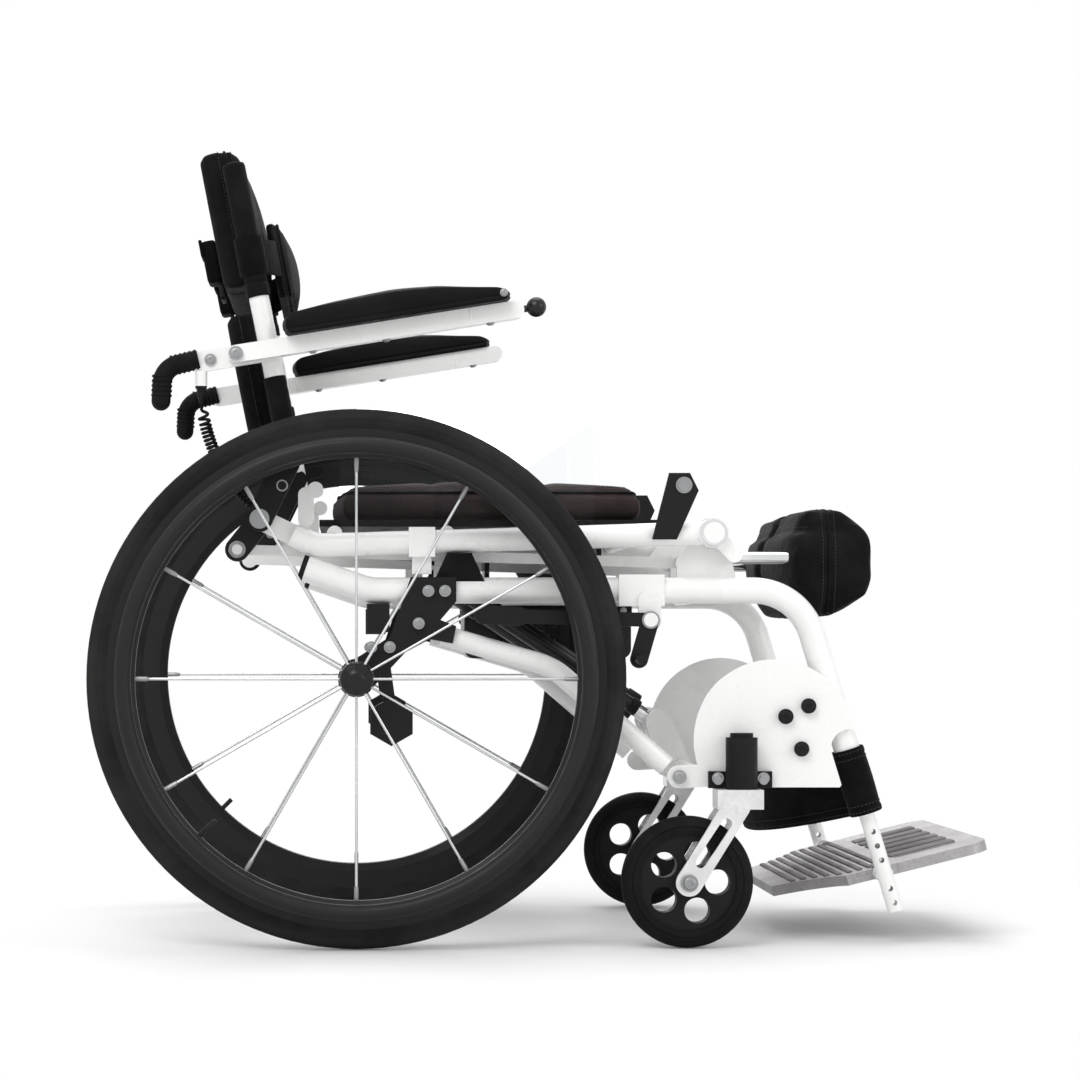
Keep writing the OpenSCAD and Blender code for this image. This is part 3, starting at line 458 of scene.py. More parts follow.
def pillow(size, crown, corner=0.4, pull=0.006, cuts=15):
    """A padded block in metres: flat below, crowned on top, its sides drawn in between rounded corners."""
    length, width, height = size
    bm = bmesh.new()
    bmesh.ops.create_cube(bm, size=2)
    bmesh.ops.subdivide_edges(bm, edges=bm.edges[:], cuts=cuts, use_grid_fill=True)
    for v in bm.verts:
        u, w, t = v.co
        up = (t + 1) / 2
        full = 1 - 0.055 * abs(2 * up - 0.9) ** 3
        x = u * math.sqrt(1 - corner * w * w / 2) * full * length / 2
        y = w * math.sqrt(1 - corner * u * u / 2) * full * width / 2
        x -= math.copysign(pull * (1 - w * w) * abs(u) ** 5, u)
        y -= math.copysign(pull * (1 - u * u) * abs(w) ** 5, w)
        soft = max(abs(u), abs(w)) ** 9
        v.co = (x, y, up * (height - crown + crown * (1 - u * u) * (1 - w * w)) - 0.1 * crown * soft * up)
    return bm


def puffed(bm, voxel, cap, flat):
    """Remeshes a form, blows it up a little as cloth, and gives it back; a flat base stays flat."""
    mesh = bpy.data.meshes.new("pad")
    bm.to_mesh(mesh)
    bm.free()
    obj = bpy.data.objects.new("pad", mesh)
    bpy.context.scene.collection.objects.link(obj)
    net = obj.modifiers.new("Net", "REMESH")
    net.mode = "VOXEL"
    net.voxel_size = voxel
    net.use_smooth_shade = True
    settled(obj)
    before = [v.co.copy() for v in obj.data.vertices]
    cloth = obj.modifiers.new("Cloth", "CLOTH")
    cloth.settings.quality = 4
    cloth.settings.mass = 0.3
    cloth.settings.tension_stiffness = 12
    cloth.settings.compression_stiffness = 12
    cloth.settings.bending_stiffness = 0.6
    cloth.settings.use_pressure = True
    cloth.settings.uniform_pressure_force = PAD_PRESSURE
    cloth.settings.effector_weights.gravity = 0
    cloth.collision_settings.use_self_collision = False
    for i in range(1, SETTLE_FRAMES + 1):
        bpy.context.scene.frame_set(i)
    settled(obj)
    bpy.context.scene.frame_set(1)
    for v, old in zip(obj.data.vertices, before):
        move = v.co - old
        if move.length > cap:
            move *= cap / move.length
        v.co = old + move
    new = bmesh.new()
    new.from_mesh(obj.data)
    least = 0.0 if flat else -1.0
    for v in new.verts:
        v.co.z = max(v.co.z, least)
    bmesh.ops.smooth_vert(new, verts=new.verts[:], factor=0.4, use_axis_x=True, use_axis_y=True,
                          use_axis_z=True)
    for v in new.verts:
        v.co.z = max(v.co.z, least)
    mesh = obj.data
    bpy.data.objects.remove(obj)
    bpy.data.meshes.remove(mesh)
    return new


def settled(obj):
    """Applies an object's modifiers to its mesh."""
    bpy.context.view_layer.update()
    mesh = bpy.data.meshes.new_from_object(obj.evaluated_get(bpy.context.evaluated_depsgraph_get()))
    old = obj.data
    obj.modifiers.clear()
    obj.data = mesh
    bpy.data.meshes.remove(old)


def channel(bm, axis, place, width, depth):
    """Draws a sewn channel into the top of a pad, across one axis; places in metres."""
    bm.normal_update()
    for v in bm.verts:
        d = abs(v.co[axis] - place) / width
        if d < 1 and v.co.z > 0.004:
            v.co -= v.normal * depth * (1 - d * d) ** 2


def waist(bm, level, width, depth):
    """Draws a seam round the sides of a pad at a level above its base."""
    bm.normal_update()
    for v in bm.verts:
        d = abs(v.co.z - level) / width
        if d < 1 and abs(v.normal.z) < 0.7:
            v.co -= v.normal * depth * (1 - d * d) ** 2


def girth(bm, level, proud, n=160):
    """Points round the sides of a pad at a level, found on its surface."""
    tree = BVHTree.FromBMesh(bm)
    out = []
    for i in range(n):
        a = 2 * math.pi * i / n
        way = Vector((math.cos(a), math.sin(a), 0))
        hit = tree.ray_cast(Vector((0, 0, level)) + way, -way)
        if hit[0] is not None:
            out.append(hit[0] + hit[1] * proud)
    return out


def over_top(bm, axis, place, reach, n=60):
    """Points across the top of a pad along a line, found on its surface."""
    tree = BVHTree.FromBMesh(bm)
    out = []
    for i in range(n):
        q = reach * (2 * i / (n - 1) - 1)
        spot = Vector((place, q, 0.5)) if axis == 0 else Vector((q, place, 0.5))
        hit = tree.ray_cast(spot, Vector((0, 0, -1)))
        if hit[0] is not None:
            out.append(hit[0])
    return out


def softened(obj):
    """Rounds a soft piece by one level of subdivision."""
    net = obj.modifiers.new("Soft", "SUBSURF")
    net.levels = 1
    net.render_levels = 1


def along(points, u):
    """Height of a broken line of (place, height) points at u."""
    for (a, p), (b, q) in zip(points, points[1:]):
        if u <= b:
            break
    return p + (q - p) * max(0.0, (u - a) / (b - a))


def knee_form(co, height):
    """Side view of the knee pad: a blunt wedge that wraps its board in front, with a flap at its top."""
    front = along([(-0.072, 0.044), (-0.036, -0.011), (0.033, -0.011), (0.072, 0.030)], co.x)
    rear = along([(-0.072, 0.060), (-0.010, 0.090), (0.030, 0.086), (0.046, 0.068), (0.072, 0.074)], co.x)
    off = co.z / height - 0.42
    wide = 1 + (0.17 if off > 0 else 0.11) * (abs(off) / 0.58) ** 1.2
    return Vector((co.x, co.y * wide, front + (rear - front) * co.z / height))


def pad(name, replaced, body, slot, cover, size, crown, place, fill=0.7, voxel=0.0055, cap=0.006, seam=0.5,
        channels=(), corner=0.4, pull=0.006, form=None):
    """A padded piece: form, cloth, channels, piped seam and stitching. Size, crown and channels in mm."""
    length, width, height = (s / 1000 for s in size)
    rise = height - PAD_ROOM_UP
    bm = pillow((length - PAD_ROOM, width - PAD_ROOM, rise), crown / 1000, corner, pull)
    if form:
        for v in bm.verts:
            v.co = form(v.co, rise)
    bm = puffed(bm, voxel, cap, form is None)
    for axis, where, wide, depth in channels:
        channel(bm, axis, where / 1000, wide / 1000, depth / 1000)
    level = seam * height
    waist(bm, level, width=0.007, depth=0.0022)
    line = girth(bm, level, proud=0.0004)
    threads = bmesh.new()
    off = min(0.0075, 0.17 * height)
    for up in (-off, off):
        stitches(threads, girth(bm, level + up, proud=0.0002), STITCH, SEAM_THREAD, loop=True)
    for axis, where, _, _ in channels:
        for side in (-1, 1):
            reach = 0.47 * (width if axis == 0 else length)
            row = over_top(bm, axis, (where + side * 2.8) / 1000, reach)
            stitches(threads, row, STITCH, FINE_THREAD)
    obj = piece(name, bm, cover, body, place, smooth=0)
    softened(obj)
    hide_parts(replaced)
    piece(name + "_thread", closed(threads), "thread", body, place)
    placed = [place @ p for p in line]
    tube_along(name + "_piping", placed, PIPING_RADIUS, "piping_cloth", body, loop=True)


# Settings

class ChairFinishes(bpy.types.PropertyGroup):
    frame: bpy.props.FloatVectorProperty(
        name="Frame paint", description="Powder coat of the tubes and plates",
        subtype="COLOR", size=3, min=0, max=1, default=(0.86, 0.86, 0.85))
    plate: bpy.props.FloatVectorProperty(
        name="Black metal", description="Paint of the axle and hinge plates",
        subtype="COLOR", size=3, min=0, max=1, default=(0.008, 0.008, 0.0085))
    rim: bpy.props.FloatVectorProperty(
        name="Rims", description="Paint of the rims and hand-rims",
        subtype="COLOR", size=3, min=0, max=1, default=(0.0155, 0.0152, 0.0150))
    tyre: bpy.props.FloatVectorProperty(
        name="Tyres", description="Rubber of the rear tyres",
        subtype="COLOR", size=3, min=0, max=1, default=(0.0200, 0.0196, 0.0192))
    cloth: bpy.props.FloatVectorProperty(
        name="Back cloth", description="Cover of the back and knee pads",
        subtype="COLOR", size=3, min=0, max=1, default=(0.0042, 0.0042, 0.0045))
    seat: bpy.props.FloatVectorProperty(
        name="Seat cloth", description="Cover of the cushion",
        subtype="COLOR", size=3, min=0, max=1, default=(0.027, 0.0195, 0.0197))
    rubber: bpy.props.FloatVectorProperty(
        name="Rubber", description="Grips, arm pads and plugs",
        subtype="COLOR", size=3, min=0, max=1, default=(0.007, 0.007, 0.007))
    metal: bpy.props.FloatVectorProperty(
        name="Bright metal", description="Bolts, spokes and rods",
        subtype="COLOR", size=3, min=0, max=1, default=(0.62, 0.63, 0.64))


class ChairSizes(bpy.types.PropertyGroup):
    cord_diameter: bpy.props.FloatProperty(
        name="Cord diameter", description="Thickness of the curly cord",
        unit="LENGTH", default=0.0036, min=0.002, max=0.006)
    curl_diameter: bpy.props.FloatProperty(
        name="Curl diameter", description="Outside diameter of a curl",
        unit="LENGTH", default=0.015, min=0.01, max=0.02)
    curls: bpy.props.IntProperty(
        name="Curls", description="Number of curls in the cord",
        default=34, min=10, max=50)
    floor: bpy.props.FloatProperty(
        name="Floor", description="Side of the studio floor",
        unit="LENGTH", default=14, min=4, max=40)
    eye_height: bpy.props.FloatProperty(
        name="Eye height", description="Height of the camera above the floor",
        unit="LENGTH", default=0.34, min=0.05, max=2)
    eye_distance: bpy.props.FloatProperty(
        name="Eye distance", description="Camera to the near wheel",
        unit="LENGTH", default=3.1, min=1, max=8)
    lens: bpy.props.FloatProperty(
        name="Lens", description="Focal length in mm on a 36 mm sensor",
        default=91.5, min=20, max=300)
    shift_x: bpy.props.FloatProperty(
        name="Shift across", description="Lens shift across",
        default=0.17, min=-1, max=1)
    shift_y: bpy.props.FloatProperty(
        name="Shift up", description="Lens shift up",
        default=0.10, min=-1, max=1)


class ChairSettings(bpy.types.PropertyGroup):
    finishes: bpy.props.PointerProperty(type=ChairFinishes)
    sizes: bpy.props.PointerProperty(type=ChairSizes)


# Pieces

class CHAIR_OT_finishes(bpy.types.Operator):
    """Make the finishes and paint the solids that stay"""
    bl_idname = "chair.finishes"
    bl_label = "Paint the solids"

    def execute(self, context):
        f = chair().finishes
        powder_coat("frame_paint", f.frame)
        powder_coat("plate_paint", f.plate, rough=0.42, coat=0.06, shine=0.16)
        powder_coat("rim_paint", f.rim, rough=0.5, coat=0.05, shine=0.16)
        moulded("tyre_rubber", f.tyre, rough=0.75, grain=700, depth=0.0002, shine=0.08)
        moulded("grip_rubber", f.rubber, rough=0.66, grain=800, depth=0.0002, shine=0.09)
        moulded("dull_plastic", shade(f.rubber, 1.2), rough=0.5, shine=0.14)
        moulded("gloss_plastic", f.rubber, rough=0.24, grain=1600, depth=0.00004, shine=0.3)
        moulded("arm_foam_skin", shade(f.rubber, 0.65), rough=0.52, grain=520, depth=0.00035, shine=0.08)
        moulded("foot_rubber", (0.20, 0.19, 0.19), rough=0.7, grain=600, depth=0.0003)
        moulded("thread", (0.035, 0.034, 0.036), rough=0.7)
        bare_metal("zinc_steel", shade(f.metal, 0.55), rough=0.36)
        bare_metal("spoke_wire", shade(f.metal, 1.1), rough=0.3)
        bare_metal("chrome_rod", (0.78, 0.79, 0.8), rough=0.1, stretch=(40, 40, 1), depth=0.00001)
        bare_metal("cast_alloy", (0.8, 0.8, 0.8), rough=0.42, stretch=(1, 6, 1))
        bare_metal("footplate_alloy", (0.42, 0.405, 0.41), rough=0.5, stretch=(1, 6, 1))
        clear_sheet("guard_sheet", (0.97, 0.985, 0.99))
        woven("piping_cloth", shade(f.cloth, 0.9), shade(f.cloth, 1.8), period=0.0016)
        woven("back_cloth", f.cloth, shade(f.cloth, 2.0))
        woven("seat_cloth", f.seat, (0.042, 0.0300, 0.0305))
        woven("strap_web", shade(f.cloth, 0.5), shade(f.cloth, 1.0), period=0.0034)
        nodes = {
            "frame_paint": "side_frames base_cross_tubes lower_tubes caster_plates lock_clamps knee_brackets "
                           "seat_rails seat_cross_tubes rail_fittings back_tubes arm_plates arm_tube_right "
                           "arm_tube_left back_links foot_tubes",
            "plate_paint": "axle_plates front_brackets hinge_plates wheel_lock_right wheel_lock_left",
            "rim_paint": "rim_right rim_left hand_rim_right hand_rim_left",
            "dull_plastic": "caster_housings tube_plugs seat_pan back_levers caster_rim_right "
                            "caster_rim_left",
            "gloss_plastic": "battery_box control_knob actuator_tube gas_cylinders",
            "grip_rubber": "seat_rests push_grips",
            "zinc_steel": "base_bolts seat_bolts",
            "spoke_wire": "spokes_right spokes_left",
            "chrome_rod": "actuator_rod gas_rods knee_rods",
            "cast_alloy": "caster_fork_right caster_fork_left",
            "footplate_alloy": "footplate",
            "guard_sheet": "side_guards",
        }
        for key, names in nodes.items():
            for name in names.split():
                NODES[name].data.materials.clear()
                NODES[name].data.materials.append(bpy.data.materials[key])
        return {"FINISHED"}


class CHAIR_OT_tyres(bpy.types.Operator):
    """Replace the tyres with ribbed treads"""
    bl_idname = "chair.tyres"
    bl_label = "Tyres"

    def execute(self, context):
        large = [(282, 10), (286, 11.4), (290, 12.6), (291, 12.4), (292, 12.9), (295, 12.8), (298, 12.0),
                 (300.6, 10.2), (299.6, 9.5), (300.9, 8.8), (302.8, 6.7), (301.4, 6.1), (303.2, 5.5),
                 (304.4, 3.2), (302.8, 2.6), (304.7, 2.0), (305, 0.6)]
        small = [(55, 13.6), (59, 13.9), (62, 13.6), (63, 12.6), (64, 13.3), (67, 12.4), (70.4, 10.1),
                 (72.6, 7.4), (71.4, 6.7), (73.2, 6.0), (74.5, 3.4), (75, 1.0)]
        for side, s in SIDES:
            caster = facing_side(CASTER[0], s * CASTER[1], CASTER[2])
            for kind, profile, place, body, rubber, steps in (
                    ("tyre", large, wheel_hub(s), "wheel_", "tyre_rubber", 128),
                    ("caster_tyre", small, caster, "caster_wheel_", "grip_rubber", 72)):
                bm = bmesh.new()
                ring_of(bm, profile + [(r, -h) for r, h in reversed(profile)], place, steps=steps)
                obj = piece(kind + "_tread_" + side, bm, rubber, body + side)
                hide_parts(kind + "_" + side)
        return {"FINISHED"}


class CHAIR_OT_wheel_trim(bpy.types.Operator):
    """Hub shells, spoke nipples, hand-rim collars and caster nuts"""
    bl_idname = "chair.wheel_trim"
    bl_label = "Wheel trim"

    def execute(self, context):
        shell = [(0, 35.4), (7, 35.2), (8, 34.4), (13, 34.0), (17.2, 32.6), (19.2, 29.6), (19.4, 22),
                 (18.2, 19.5), (18.2, -15), (21, -17), (21, -21), (18.2, -23), (17.55, -24.5), (17.55, 33),
                 (0, 33)]
        nipple = [(0, 17.5), (2.7, 17.5), (2.7, 4), (2.1, 1), (1.7, 0), (0, 0)]
        collar = [(0, 17), (4.6, 17), (4.6, 13), (6.6, 3.5), (6.6, 0), (0, 0)]
        valve = [(0, 9), (2.3, 9), (2.6, 8), (2.6, 1), (3.4, 0), (0, 0)]
        nipple_radius, collar_radius, valve_radius = 233.5, 261.5, 234.5
        nut_reach = 26.1
        for side, s in SIDES:
            hub = wheel_hub(s)
            wheel = "wheel_" + side
            bm = bmesh.new()
            turning(bm, shell, hub)
            for k in range(6):
                block(bm, (1.6, 8, 0.8), hub @ tilted(60 * k, "Z") @ shifted(0, 12.5, 34.1), 0.3, 1)
            piece("hub_shell_" + side, bm, "gloss_plastic", wheel)
            bm = bmesh.new()
            for k in range(12):
                lean = 1.7 if k % 2 == 0 else -1.7
                spoke = hub @ tilted(30 * k, "Z") @ shifted(nipple_radius, 0, lean) @ tilted(90, "Y")
                turning(bm, nipple, spoke, 10)
            piece("nipples_" + side, bm, "zinc_steel", wheel)
            bm = bmesh.new()
            for k in range(6):
                turning(bm, collar, hub @ tilted(60 * k + 15, "Z") @ shifted(collar_radius, 0, 10), 16)
            turning(bm, valve, hub @ tilted(225, "Z") @ shifted(valve_radius, 0, 0) @ tilted(-90, "Y"), 14)
            piece("hand_rim_collars_" + side, bm, "rim_paint", wheel)
            bm = bmesh.new()
            for d in (-1, 1):
                nut = facing_side(CASTER[0], s * CASTER[1] + d * nut_reach, CASTER[2])
                if d * s < 0:
                    nut = nut @ tilted(180, "X")
                socket_bolt(bm, nut, 7.2, 4.2)
            piece("caster_nuts_" + side, bm, "zinc_steel", "caster_fork_" + side)
        return {"FINISHED"}


class CHAIR_OT_seat_cushion(bpy.types.Operator):
    """The seat cushion with its piped seam and sewn channels"""
    bl_idname = "chair.seat_cushion"
    bl_label = "Seat cushion"

    def execute(self, context):
        low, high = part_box("seat_cushion")
        size = [1000 * (high[i] - low[i]) for i in range(3)]
        place = Matrix.Translation(((low.x + high.x) / 2, 0, low.z))
        pad("cushion", "seat_cushion", "seat", "seat_cover", "seat_cloth", size, 11, place, fill=0.75,
            voxel=0.0065, cap=0.005, seam=0.62, channels=((0, -68, 9, 3.4), (0, 68, 9, 3.4)))
        return {"FINISHED"}


class CHAIR_OT_backrest(bpy.types.Operator):
    """Lower and upper back pads, chest pad, cane sleeves, straps and buckles"""
    bl_idname = "chair.backrest"
    bl_label = "Backrest"

    def execute(self, context):
        for name, node_name, size, crown, place, more in (
                ("lower_back", "back_panel", (171, 418, 46), 9, on_back(-43, 121),
                 {"cap": 0.004, "channels": ((1, -95, 8, 3), (1, 95, 8, 3))}),
                ("upper_back", "back_pad", (178, 428, 60), 12, on_back(-38, 303),
                 {"cap": 0.004, "channels": ((1, -110, 8, 3), (1, 110, 8, 3)), "voxel": 0.006,
                  "corner": 0.25}),
                ("chest", "chest_pad", (110, 314, 30), 12, on_back(22.3, 254),
                 {"cap": 0.0035, "channels": ((1, 0, 7, 2.4),), "seam": 0.45})):
            pad(name, node_name, "backrest", "back_cover", "back_cloth", size, crown, place, **more)
        top = [(0, 363.4), (8, 363.2), (12.2, 361.4), (13.3, 358), (13.5, 300), (13.2, 230), (13.2, 220),
               (0, 220)]
        inside = 11.6
        bm = bmesh.new()
        for s in (-1, 1):
            cane = turned(CANE_FOOT[0], s * CANE_Y, CANE_FOOT[1], -BACK_LEAN)
            turning(bm, top, cane, 32)
            for low, high, r in ((206, 222, 13.7), (38, 112, 12.9)):
                folds = range(int((high - low) / 4) - 1)
                rows = [(inside, high), (r - 0.6, high), (r, high - 1.5)]
                rows += [(r + 0.25 * math.sin(k * 2.1), high - 4 - 4 * k) for k in folds]
                rows += [(r, low + 1.5), (r - 0.6, low), (inside, low)]
                ring_of(bm, rows, cane, steps=32)
        piece("cane_sleeves", bm, "back_cloth", "backrest", smooth=0)
        back = turned(CANE_FOOT[0], 0, CANE_FOOT[1], -BACK_LEAN)
        strap_y, strap_z = 150, 254
        sleeve = [(14.2, -21), (16.6, -21), (16.8, -19), (16.8, 19), (16.6, 21), (14.2, 21)]
        bm = bmesh.new()
        for s in (-1, 1):
            block(bm, (18, 44, 50), back @ shifted(-46.5, s * strap_y, 262), 5, 4)
            block(bm, (4, 47, 20), back @ shifted(-55.5, s * strap_y, 279), 1.6, 3)
            inner = Vector((0.030, s * 0.146, strap_z / 1000))
            outer = Vector((0.004, s * 0.207, strap_z / 1000))
            way = outer - inner
            turn = Vector((0, 1, 0)).rotation_difference(way.normalized()).to_matrix().to_4x4()
            lie = Matrix.Translation((inner + outer) / 2) @ turn
            block(bm, (2.6, 1000 * way.length, 42), back @ lie, 1.0, 2)
            ring_of(bm, sleeve, back @ shifted(0, s * CANE_Y, strap_z), steps=32)
        piece("back_straps", bm, "strap_web", "backrest")
        bm = bmesh.new()
        for s in (-1, 1):
            for d in (-1, 1):
                block(bm, (5, 4, 20), back @ shifted(-41.5, s * strap_y + d * 19, 226), 1.2, 2)
            for d in (-1, 1):
                block(bm, (5, 42, 4), back @ shifted(-41.5, s * strap_y, 226 + d * 8), 1.2, 2)
        piece("strap_buckles", bm, "dull_plastic", "backrest")
        return {"FINISHED"}


class CHAIR_OT_arm_pads(bpy.types.Operator):
    """Crowned foam arm pads, their screws and the bands round the arm tubes"""
    bl_idname = "chair.arm_pads"
    bl_label = "Arm pads"

    def execute(self, context):
        slope = math.radians(ARM_SLOPE)
        front = (ARM_PIVOT[0] + ARM_TUBE * math.cos(slope), ARM_PIVOT[1] + ARM_TUBE * math.sin(slope))
        crest = [(-0.134, 0.80), (-0.08, 0.93), (0.0, 1.0), (0.05, 0.90), (0.134, 0.46)]
        for side, s in SIDES:
            body = "arm_" + side
            arm = turned(front[0], s * ARM_Y, front[1], -ARM_SLOPE)
            bm = pillow((0.264, 0.0495, 0.034), 0.005, corner=0.18, pull=0.001, cuts=21)
            for v in bm.verts:
                v.co.z *= along(crest, v.co.x)
            waist(bm, level=0.0055, width=0.0024, depth=0.0010)
            obj = piece("arm_foam_" + side, bm, "arm_foam_skin", body,
                        arm @ shifted(-134, s * 8, 10.3), smooth=0)
            softened(obj)
            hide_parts("arm_pad_" + side)
            bm = bmesh.new()
            socket_bolt(bm, arm @ shifted(-11.5, s * 31.2, 18.5) @ tilted(-90 * s, "X"), 3.4, 2.2)
            for x in (-30, -150, -235):
                socket_bolt(bm, arm @ shifted(x, 0, -10.1) @ tilted(180, "X"), 3.6, 2.4)
            piece("arm_screws_" + side, bm, "zinc_steel", body)
            bm = bmesh.new()
            for x in (-52, -262):
                block(bm, (3, 20.6, 20.6), arm @ shifted(x, 0, 0), 1.0, 2)
            piece("arm_bands_" + side, bm, "frame_paint", body)
        return {"FINISHED"}


class CHAIR_OT_knee_pad(bpy.types.Operator):
    """The knee pad with a valley between its two lobes"""
    bl_idname = "chair.knee_pad"
    bl_label = "Knee pad"

    def execute(self, context):
        pad("knee_cushion", "knee_pad", "knee_support", "pad_cover", "back_cloth", (148, 370, 86), 8,
            turned(KNEE_PAD[0], 0, KNEE_PAD[1], -90), fill=0.85, cap=0.004, seam=0.42,
            channels=((1, 0, 26, 13), (0, 38, 7, 3)), pull=0.003, form=knee_form)
        return {"FINISHED"}


class CHAIR_OT_calf_strap(bpy.types.Operator):
    """The hemmed calf strap round both legs"""
    bl_idname = "chair.calf_strap"
    bl_label = "Calf strap"

    def execute(self, context):
        leg = turned(LEG_END[0], 0, LEG_END[1], -LEG_LEAN)
        sag = 110
        bow = (LEG_Y ** 2 + sag ** 2) / (2 * sag)
        round_leg = 19.2

        def hemmed(inner, outer):
            rows = [(outer - 0.6, 0), (outer + 0.5, 1.2), (outer + 0.7, 6.4), (outer, 8), (outer + 0.5, 22),
                    (outer + 0.8, 38.5), (outer + 0.5, 55), (outer, 69), (outer + 0.7, 70.6),
                    (outer + 0.5, 75.8), (outer - 0.6, 77)]
            return rows + [(inner + 0.6, 77), (inner, 75.8), (inner, 1.2), (inner + 0.6, 0)]

        def cuff_point(a, s, h):
            return Vector((round_leg * math.cos(a), s * LEG_Y + round_leg * math.sin(a), h)) / 1000

        def bow_point(a, h):
            return Vector((bow - sag - (bow + 2) * math.cos(a), (bow + 2) * math.sin(a), h)) / 1000

        bm = bmesh.new()
        for s in (-1, 1):
            ring_of(bm, hemmed(15.4, 18.6), leg @ shifted(0, s * LEG_Y, 0), steps=40)
        ring_of(bm, hemmed(bow - 2.2, bow + 1.4), leg @ shifted(bow - sag, 0, 0) @ tilted(128, "Z"), 104, 56)
        obj = piece("calf_web", bm, "strap_web", "base", smooth=40)
        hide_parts("calf_strap")
        threads = bmesh.new()
        for h in (4.0, 73.0, 11.5, 65.5):
            for s in (-1, 1):
                cuff = [leg @ cuff_point(a / 9, s, h) for a in range(57)]
                stitches(threads, cuff, STRAP_STITCH, FINE_THREAD)
            span = [leg @ bow_point(a / 50, h) for a in range(-45, 46)]
            stitches(threads, span, STRAP_STITCH, FINE_THREAD)
        piece("calf_web_thread", closed(threads), "thread", "base")
        return {"FINISHED"}


class CHAIR_OT_curly_cord(bpy.types.Operator):
    """The curly hand control cord and its strain reliefs"""
    bl_idname = "chair.curly_cord"
    bl_label = "Curly cord"

    def execute(self, context):
        sizes = chair().sizes
        route = [at(*CORD_TOP), at(-178, -221, 540), at(-110, -125, 444), at(*CORD_END)]
        first, last, ease = 0.07, 0.66, 0.16
        turns = sizes.curls
        lead_steps, curl_steps, tail_steps = 6, 16, 24

        def middle(t):
            q = 1 - t
            return q ** 3 * route[0] + 3 * q * q * t * route[1] + 3 * q * t * t * route[2] + t ** 3 * route[3]

        def turned_by(k):
            if k > 0.5:
                return 1 - turned_by(1 - k)
            return k * k / (2 * ease * (1 - ease)) if k < ease else (k - ease / 2) / (1 - ease)

        def wound(t):
            way = (middle(min(1, t + 0.002)) - middle(max(0, t - 0.002))).normalized()
            side = Vector((0, 1, 0)).cross(way).normalized()
            up = way.cross(side)
            k = max(0.0, min(1.0, (t - first) / (last - first)))
            grown = min(1.0, 2 * min(k, 1 - k) / ease)
            r = (sizes.curl_diameter - sizes.cord_diameter) / 2 * grown * grown * (3 - 2 * grown)
            angle = 2 * math.pi * turns * turned_by(k)
            return middle(t) + r * (math.cos(angle) * side + math.sin(angle) * up)

        wound_steps = curl_steps * turns
        steps = [first * i / lead_steps for i in range(lead_steps)]
        steps += [first + (last - first) * i / wound_steps for i in range(wound_steps + 1)]
        steps += [last + (1 - last) * i / tail_steps for i in range(1, tail_steps + 1)]
        line = [wound(t) for t in steps]
        radius = 500 * sizes.cord_diameter
        obj = tube_along("coiled_lead", line, radius, "grip_rubber", None, sides=2)
        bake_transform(obj)
        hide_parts("curly_cord")
        boot = [(0, 1), (6.6, 1), (6.9, 0), (6.4, -3), (5.0, -4), (5.0, -6), (4.2, -7), (4.4, -9),
                (3.6, -10.5), (3.7, -13), (2.6, -16), (1.95, -20), (1.95, -2), (0, -2)]
        for name, place, body in (
                ("cord_boot_top", Matrix.Translation(route[0]), "backrest"),
                ("cord_boot_end", Matrix.Translation(route[3]) @ tilted(90, "Y"), "seat")):
            bm = bmesh.new()
            turning(bm, boot, place, 20)
            piece(name, bm, "dull_plastic", body)
        return {"FINISHED"}


class CHAIR_OT_foot_mat(bpy.types.Operator):
    """Rubber ribs on the footplate"""
    bl_idname = "chair.foot_mat"
    bl_label = "Footplate mat"

    def execute(self, context):
        top = turned(FOOT_PIVOT[0], 0, FOOT_PIVOT[1], -FOOT_TILT)
        rib_height, rib_level, rib_edge = 2.4, 6.8, 0.9
        bm = bmesh.new()
        for i in range(-3, 3):
            block(bm, (78, 27, rib_height), top @ shifted(65, (i + 0.5) * 46.2, rib_level), rib_edge, 3)
        for k in range(9):
            x = -92 + 12 * k
            wide = 254 - math.sqrt(max(0, 150 ** 2 - (x + 169.8) ** 2))
            block(bm, (6, 2 * min(wide, 176), rib_height), top @ shifted(x, 0, rib_level), rib_edge, 3)
        piece("foot_ribs", bm, "foot_rubber", "footplate")
        return {"FINISHED"}


class CHAIR_OT_bolts(bpy.types.Operator):
    """Socket heads over the plain bolt heads"""
    bl_idname = "chair.bolts"
    bl_label = "Bolt heads"

    def execute(self, context):
        ax, az = ARM_PIVOT
        # Each head is (x, z, y at its seat, radius), on both sides of the chair
        groups = (
            ("base_zinc_heads", "base", "zinc_steel", "steel",
             ((82, 405, 241, 5), (101, 405, 241, 5), (71, 368, 241, 5), (17, 341, 241, 5), (38, 341, 241, 5),
              (368, 193, 241, 6), (411, 192, 246, 5), (463, 192, 246, 5))),
            ("base_plate_heads", "base", "plate_paint", "black_metal",
             ((489, 262, 241, 6.5), (515, 274, 241, 6.5), (507, 225, 241, 6.5))),
            ("base_polished_heads", "base", "chrome_rod", "chrome", ((*KNEE, 229, 11),)),
            ("seat_zinc_heads", "seat", "zinc_steel", "steel", ((*HIP, 224.5, 8.5), (374, 526, 233.8, 7))),
            ("backrest_zinc_heads", "backrest", "zinc_steel", "steel",
             ((-85, 526, 224, 5), (ax, az, 248.3, 6), (ax - 30, az - 5, 224, 5))),
        )
        height, washer_at = 2.6, 1.2
        for name, body, coat, slot, heads in groups:
            bm = bmesh.new()
            for x, z, y, r in heads:
                for s in (-1, 1):
                    socket_bolt(bm, facing_side(x, s * y, z), r, height, washer_at)
            piece(name, bm, coat, body)
        for side, s in SIDES:
            bm = bmesh.new()
            socket_bolt(bm, facing_side(335, s * 244.5, 372), 7.5, height, washer_at)
            piece("lock_head_" + side, bm, "zinc_steel", "wheel_lock_" + side)
        return {"FINISHED"}


